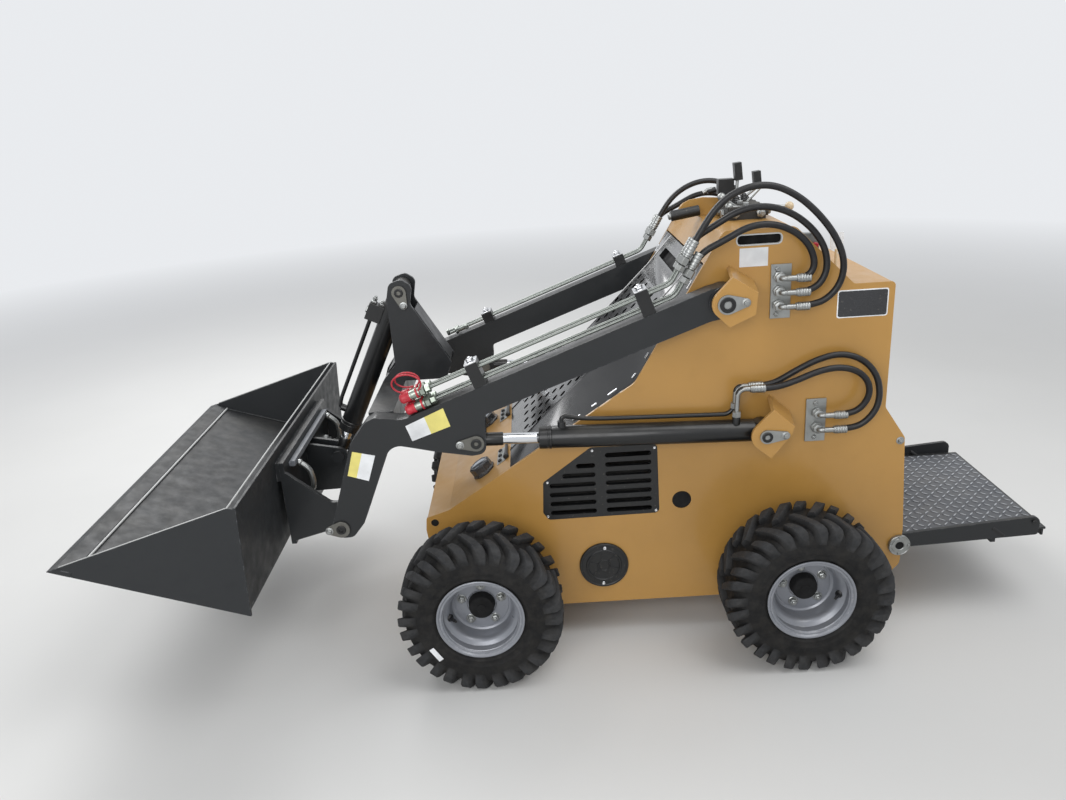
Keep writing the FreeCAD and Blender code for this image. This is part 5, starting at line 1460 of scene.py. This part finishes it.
def console():
    """Levers with their grips and balls, the gold bracket and small parts on the console."""
    dark, bright, gold, pale = (bmesh.new() for _ in range(4))
    for (x, y, z), (fx, fy) in (((-344, 12, 1290.5), (-340, 12)), ((-409, -30, 1260), (-372, -30))):
        turn = Matrix.Translation((x, y, z)) @ Matrix.Rotation(radians(6), 4, "Y")
        block(dark, (-10.5, 10.5), (-12, 12), (-24, 24), 0, turn)
        bar(bright, (fx, fy, 1212), (x, y, z - 22), 4.5, 14)
        lathe(dark, (fx, fy, 1204), (0, 0, 1), [(0, 0), (13, 0), (13, 3), (11, 6), (12, 8), (9, 12),
                                               (10, 14), (6, 20), (0, 20)], 24)
    for (x, y, z), (fx, fy), radius, bm in (
            ((-285, 80, 1231), (-330, 70), 11.5, bright), ((-305, 84, 1204), (-345, 88), 11, bright),
            ((-472, 80, 1195), (-392, 66), 12.5, pale), ((-418, 0, 1246), (-375, -6), 7, bright)):
        ball(bm, (x, y, z), radius)
        bar(bright, (fx, fy, 1200), (x, y, z), 3.6, 12)
    block(dark, (-336, -292), (-22, 8), (1228, 1270))
    sweep(bright, [(-250, 0, 1236), (-262, 0, 1243), (-275, 0, 1246)], 5, 12)
    bar(dark, (-286, 0, 1243), (-262, 0, 1238), 8, 16)
    bar(dark, (-239, 0, 1188), (-158, 0, 1176), 15, 28)
    lathe(bright, (-159, 0, 1176), Vector((81, 0, -12)), [(0, 0), (10, 0), (10, 6), (7, 9), (0, 9)], 20)
    arch = [(-182, 1166), (-184, 1192), (-196, 1207), (-214, 1216), (-252, 1221), (-304, 1217),
            (-304, 1170), (-234, 1170), (-234, 1194), (-216, 1193), (-204, 1186), (-198, 1166)]
    prism(gold, arch, -26, -20)
    for i, y in enumerate(range(-88, 89, 44)):
        hex_nut(bright, (-290, y, 1188), (1, 0, 0), 19, 9, 0.2)
        hex_nut(bright, (-410, y, 1188), (-1, 0, 0), 17, 8, 0.2)
        hex_nut(bright, (-350 + 6 * (i % 2), y, 1204), (0, 0, 1), 15, 10, 0.1 * i)
    for x in (-385, -315):
        hex_nut(bright, (x, 110, 1187), (0, 1, 0), 22, 10, 0.2)
        bar(bright, (x, 118, 1187), (x, 134, 1187), 7, 16)
    block(bright, (-492, -452), (262, 282), (1096, 1152))
    bar(pale, (-566, 200, 1030), (-566, 200, 1092), 4, 12)
    prism(pale, [(-549, 1138), (-584, 1135), (-583, 1085), (-550, 1091)], 198, 201, 1)
    made = piece("lever_grips", dark, [PLASTIC], "chassis", 30, 0.8)
    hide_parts("control_levers")
    made = piece("lever_rods", bright, [ZINC], "chassis", 35)
    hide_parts("control_levers")
    piece("console_bracket", gold, [PAINT_GOLD], "chassis", 30, 0.8)
    piece("console_knobs", pale, [IVORY, LABEL], "chassis", 35)
    bm = bmesh.new()
    lathe(bm, (-481, 284, 1121), (0, 1, 0), [(0, 0), (8, 0), (8, 5), (6, 7), (0, 7)], 24)
    piece("console_switch", bm, [RED], "chassis", 35)


def linked(name, data):
    """New object in the scene."""
    made = bpy.data.objects.new(name, data)
    bpy.context.scene.collection.objects.link(made)
    return made


def camera():
    """Camera of the photograph, fitted to the wheels, arms and bucket."""
    spot = Vector((0.090, 2.472, 1.535))
    yaw, pitch, roll = radians(-0.61), radians(19.79), radians(-3.74)
    focal, width = 856.2, 1066
    ahead = Vector((-sin(yaw) * cos(pitch), -cos(yaw) * cos(pitch), -sin(pitch)))
    level = ahead.cross(Vector((0, 0, 1))).normalized()
    upright = level.cross(ahead)
    right = level * cos(roll) + upright * sin(roll)
    up = upright * cos(roll) - level * sin(roll)
    data = bpy.data.cameras.new("camera")
    data.sensor_fit = "HORIZONTAL"
    data.sensor_width = 36
    data.lens = 36 * focal / width
    made = linked("camera", data)
    axes = Matrix((right, up, -ahead)).transposed().to_4x4()
    made.matrix_world = Matrix.Translation(spot) @ axes
    bpy.context.scene.camera = made


def softbox(name, spot, target, size, power):
    data = bpy.data.lights.new(name, "AREA")
    data.shape = "RECTANGLE"
    data.size, data.size_y = size
    data.energy = power
    made = linked(name, data)
    made.location = spot
    made.rotation_mode = "QUATERNION"
    made.rotation_quaternion = (Vector(target) - Vector(spot)).to_track_quat("-Z", "Y")


def studio():
    """Pale floor that fades into a pale world, and three soft boxes."""
    bpy.context.scene.view_settings.view_transform = "Standard"
    world = bpy.data.worlds.new("studio")
    bpy.context.scene.world = world
    world.use_nodes = True
    t = Tree(world)
    rays = t.node("LightPath").outputs
    seen = t.math("MAXIMUM", rays["Is Camera Ray"], rays["Is Glossy Ray"])
    seen = t.math("MAXIMUM", seen, rays["Is Transmission Ray"])
    shade = t.tree.nodes["Background"].inputs
    shade["Color"].default_value = (0.95, 0.97, 1.0, 1)
    t.feed(shade["Strength"], t.remap(seen, 0, 1, 0.42, 0.86))
    bpy.ops.mesh.primitive_circle_add(vertices=96, radius=30, fill_type="NGON")
    floor = bpy.context.object
    floor.name = "studio_floor"
    r = Recipe("pale_floor")
    tone = r.blend(r.noise(1.5, 4), (0.62, 0.62, 0.61, 1), (0.67, 0.67, 0.66, 1))
    r.finish(tone, 0.7, r.bump(r.noise(90, 3), 0.05, 0.001))
    away = r.node("VectorMath", operation="LENGTH")
    r.feed(away.inputs[0], r.place)
    fade = r.remap(away.outputs["Value"], 3.0, 8.0, 0.0, 1.0)
    glow = r.node("Emission")
    glow.inputs["Color"].default_value = (0.95 * 0.86, 0.97 * 0.86, 0.86, 1)
    mixed = r.node("MixShader")
    r.feed(mixed.inputs[0], fade)
    r.feed(mixed.inputs[1], r.shader.outputs["BSDF"])
    r.feed(mixed.inputs[2], glow.outputs["Emission"])
    r.feed(r.tree.nodes["Material Output"].inputs["Surface"], mixed.outputs[0])
    floor.data.materials.append(r.material)
    softbox("key", (1.8, -2.6, 3.6), (0.0, 0.0, 0.5), (2.6, 2.6), 130)
    softbox("fill", (1.2, 4.2, 2.4), (0.0, 0.0, 0.6), (3.2, 2.4), 95)
    softbox("top", (-1.6, 1.0, 4.0), (0.0, 0.0, 0.5), (3.0, 3.0), 80)


dress_nodes()
for wheel in WHEELS:
    tyre(*wheel)
    rim(*wheel)
hoses()
hose_fittings()
line_unions()
barrel_elbows()
couplers()
arm_tubes()
clamp_nuts()
hood()
hood_hinges()
keepers()
pin_ends()
side_details()
lamps()
tilt_hardware()
cylinder_ends()
labels()
slot_rims()
side_holes()
rear_door()
coupler_levers()
bucket_body()
deck_studs()
platform_hardware()
console()
camera()
studio()
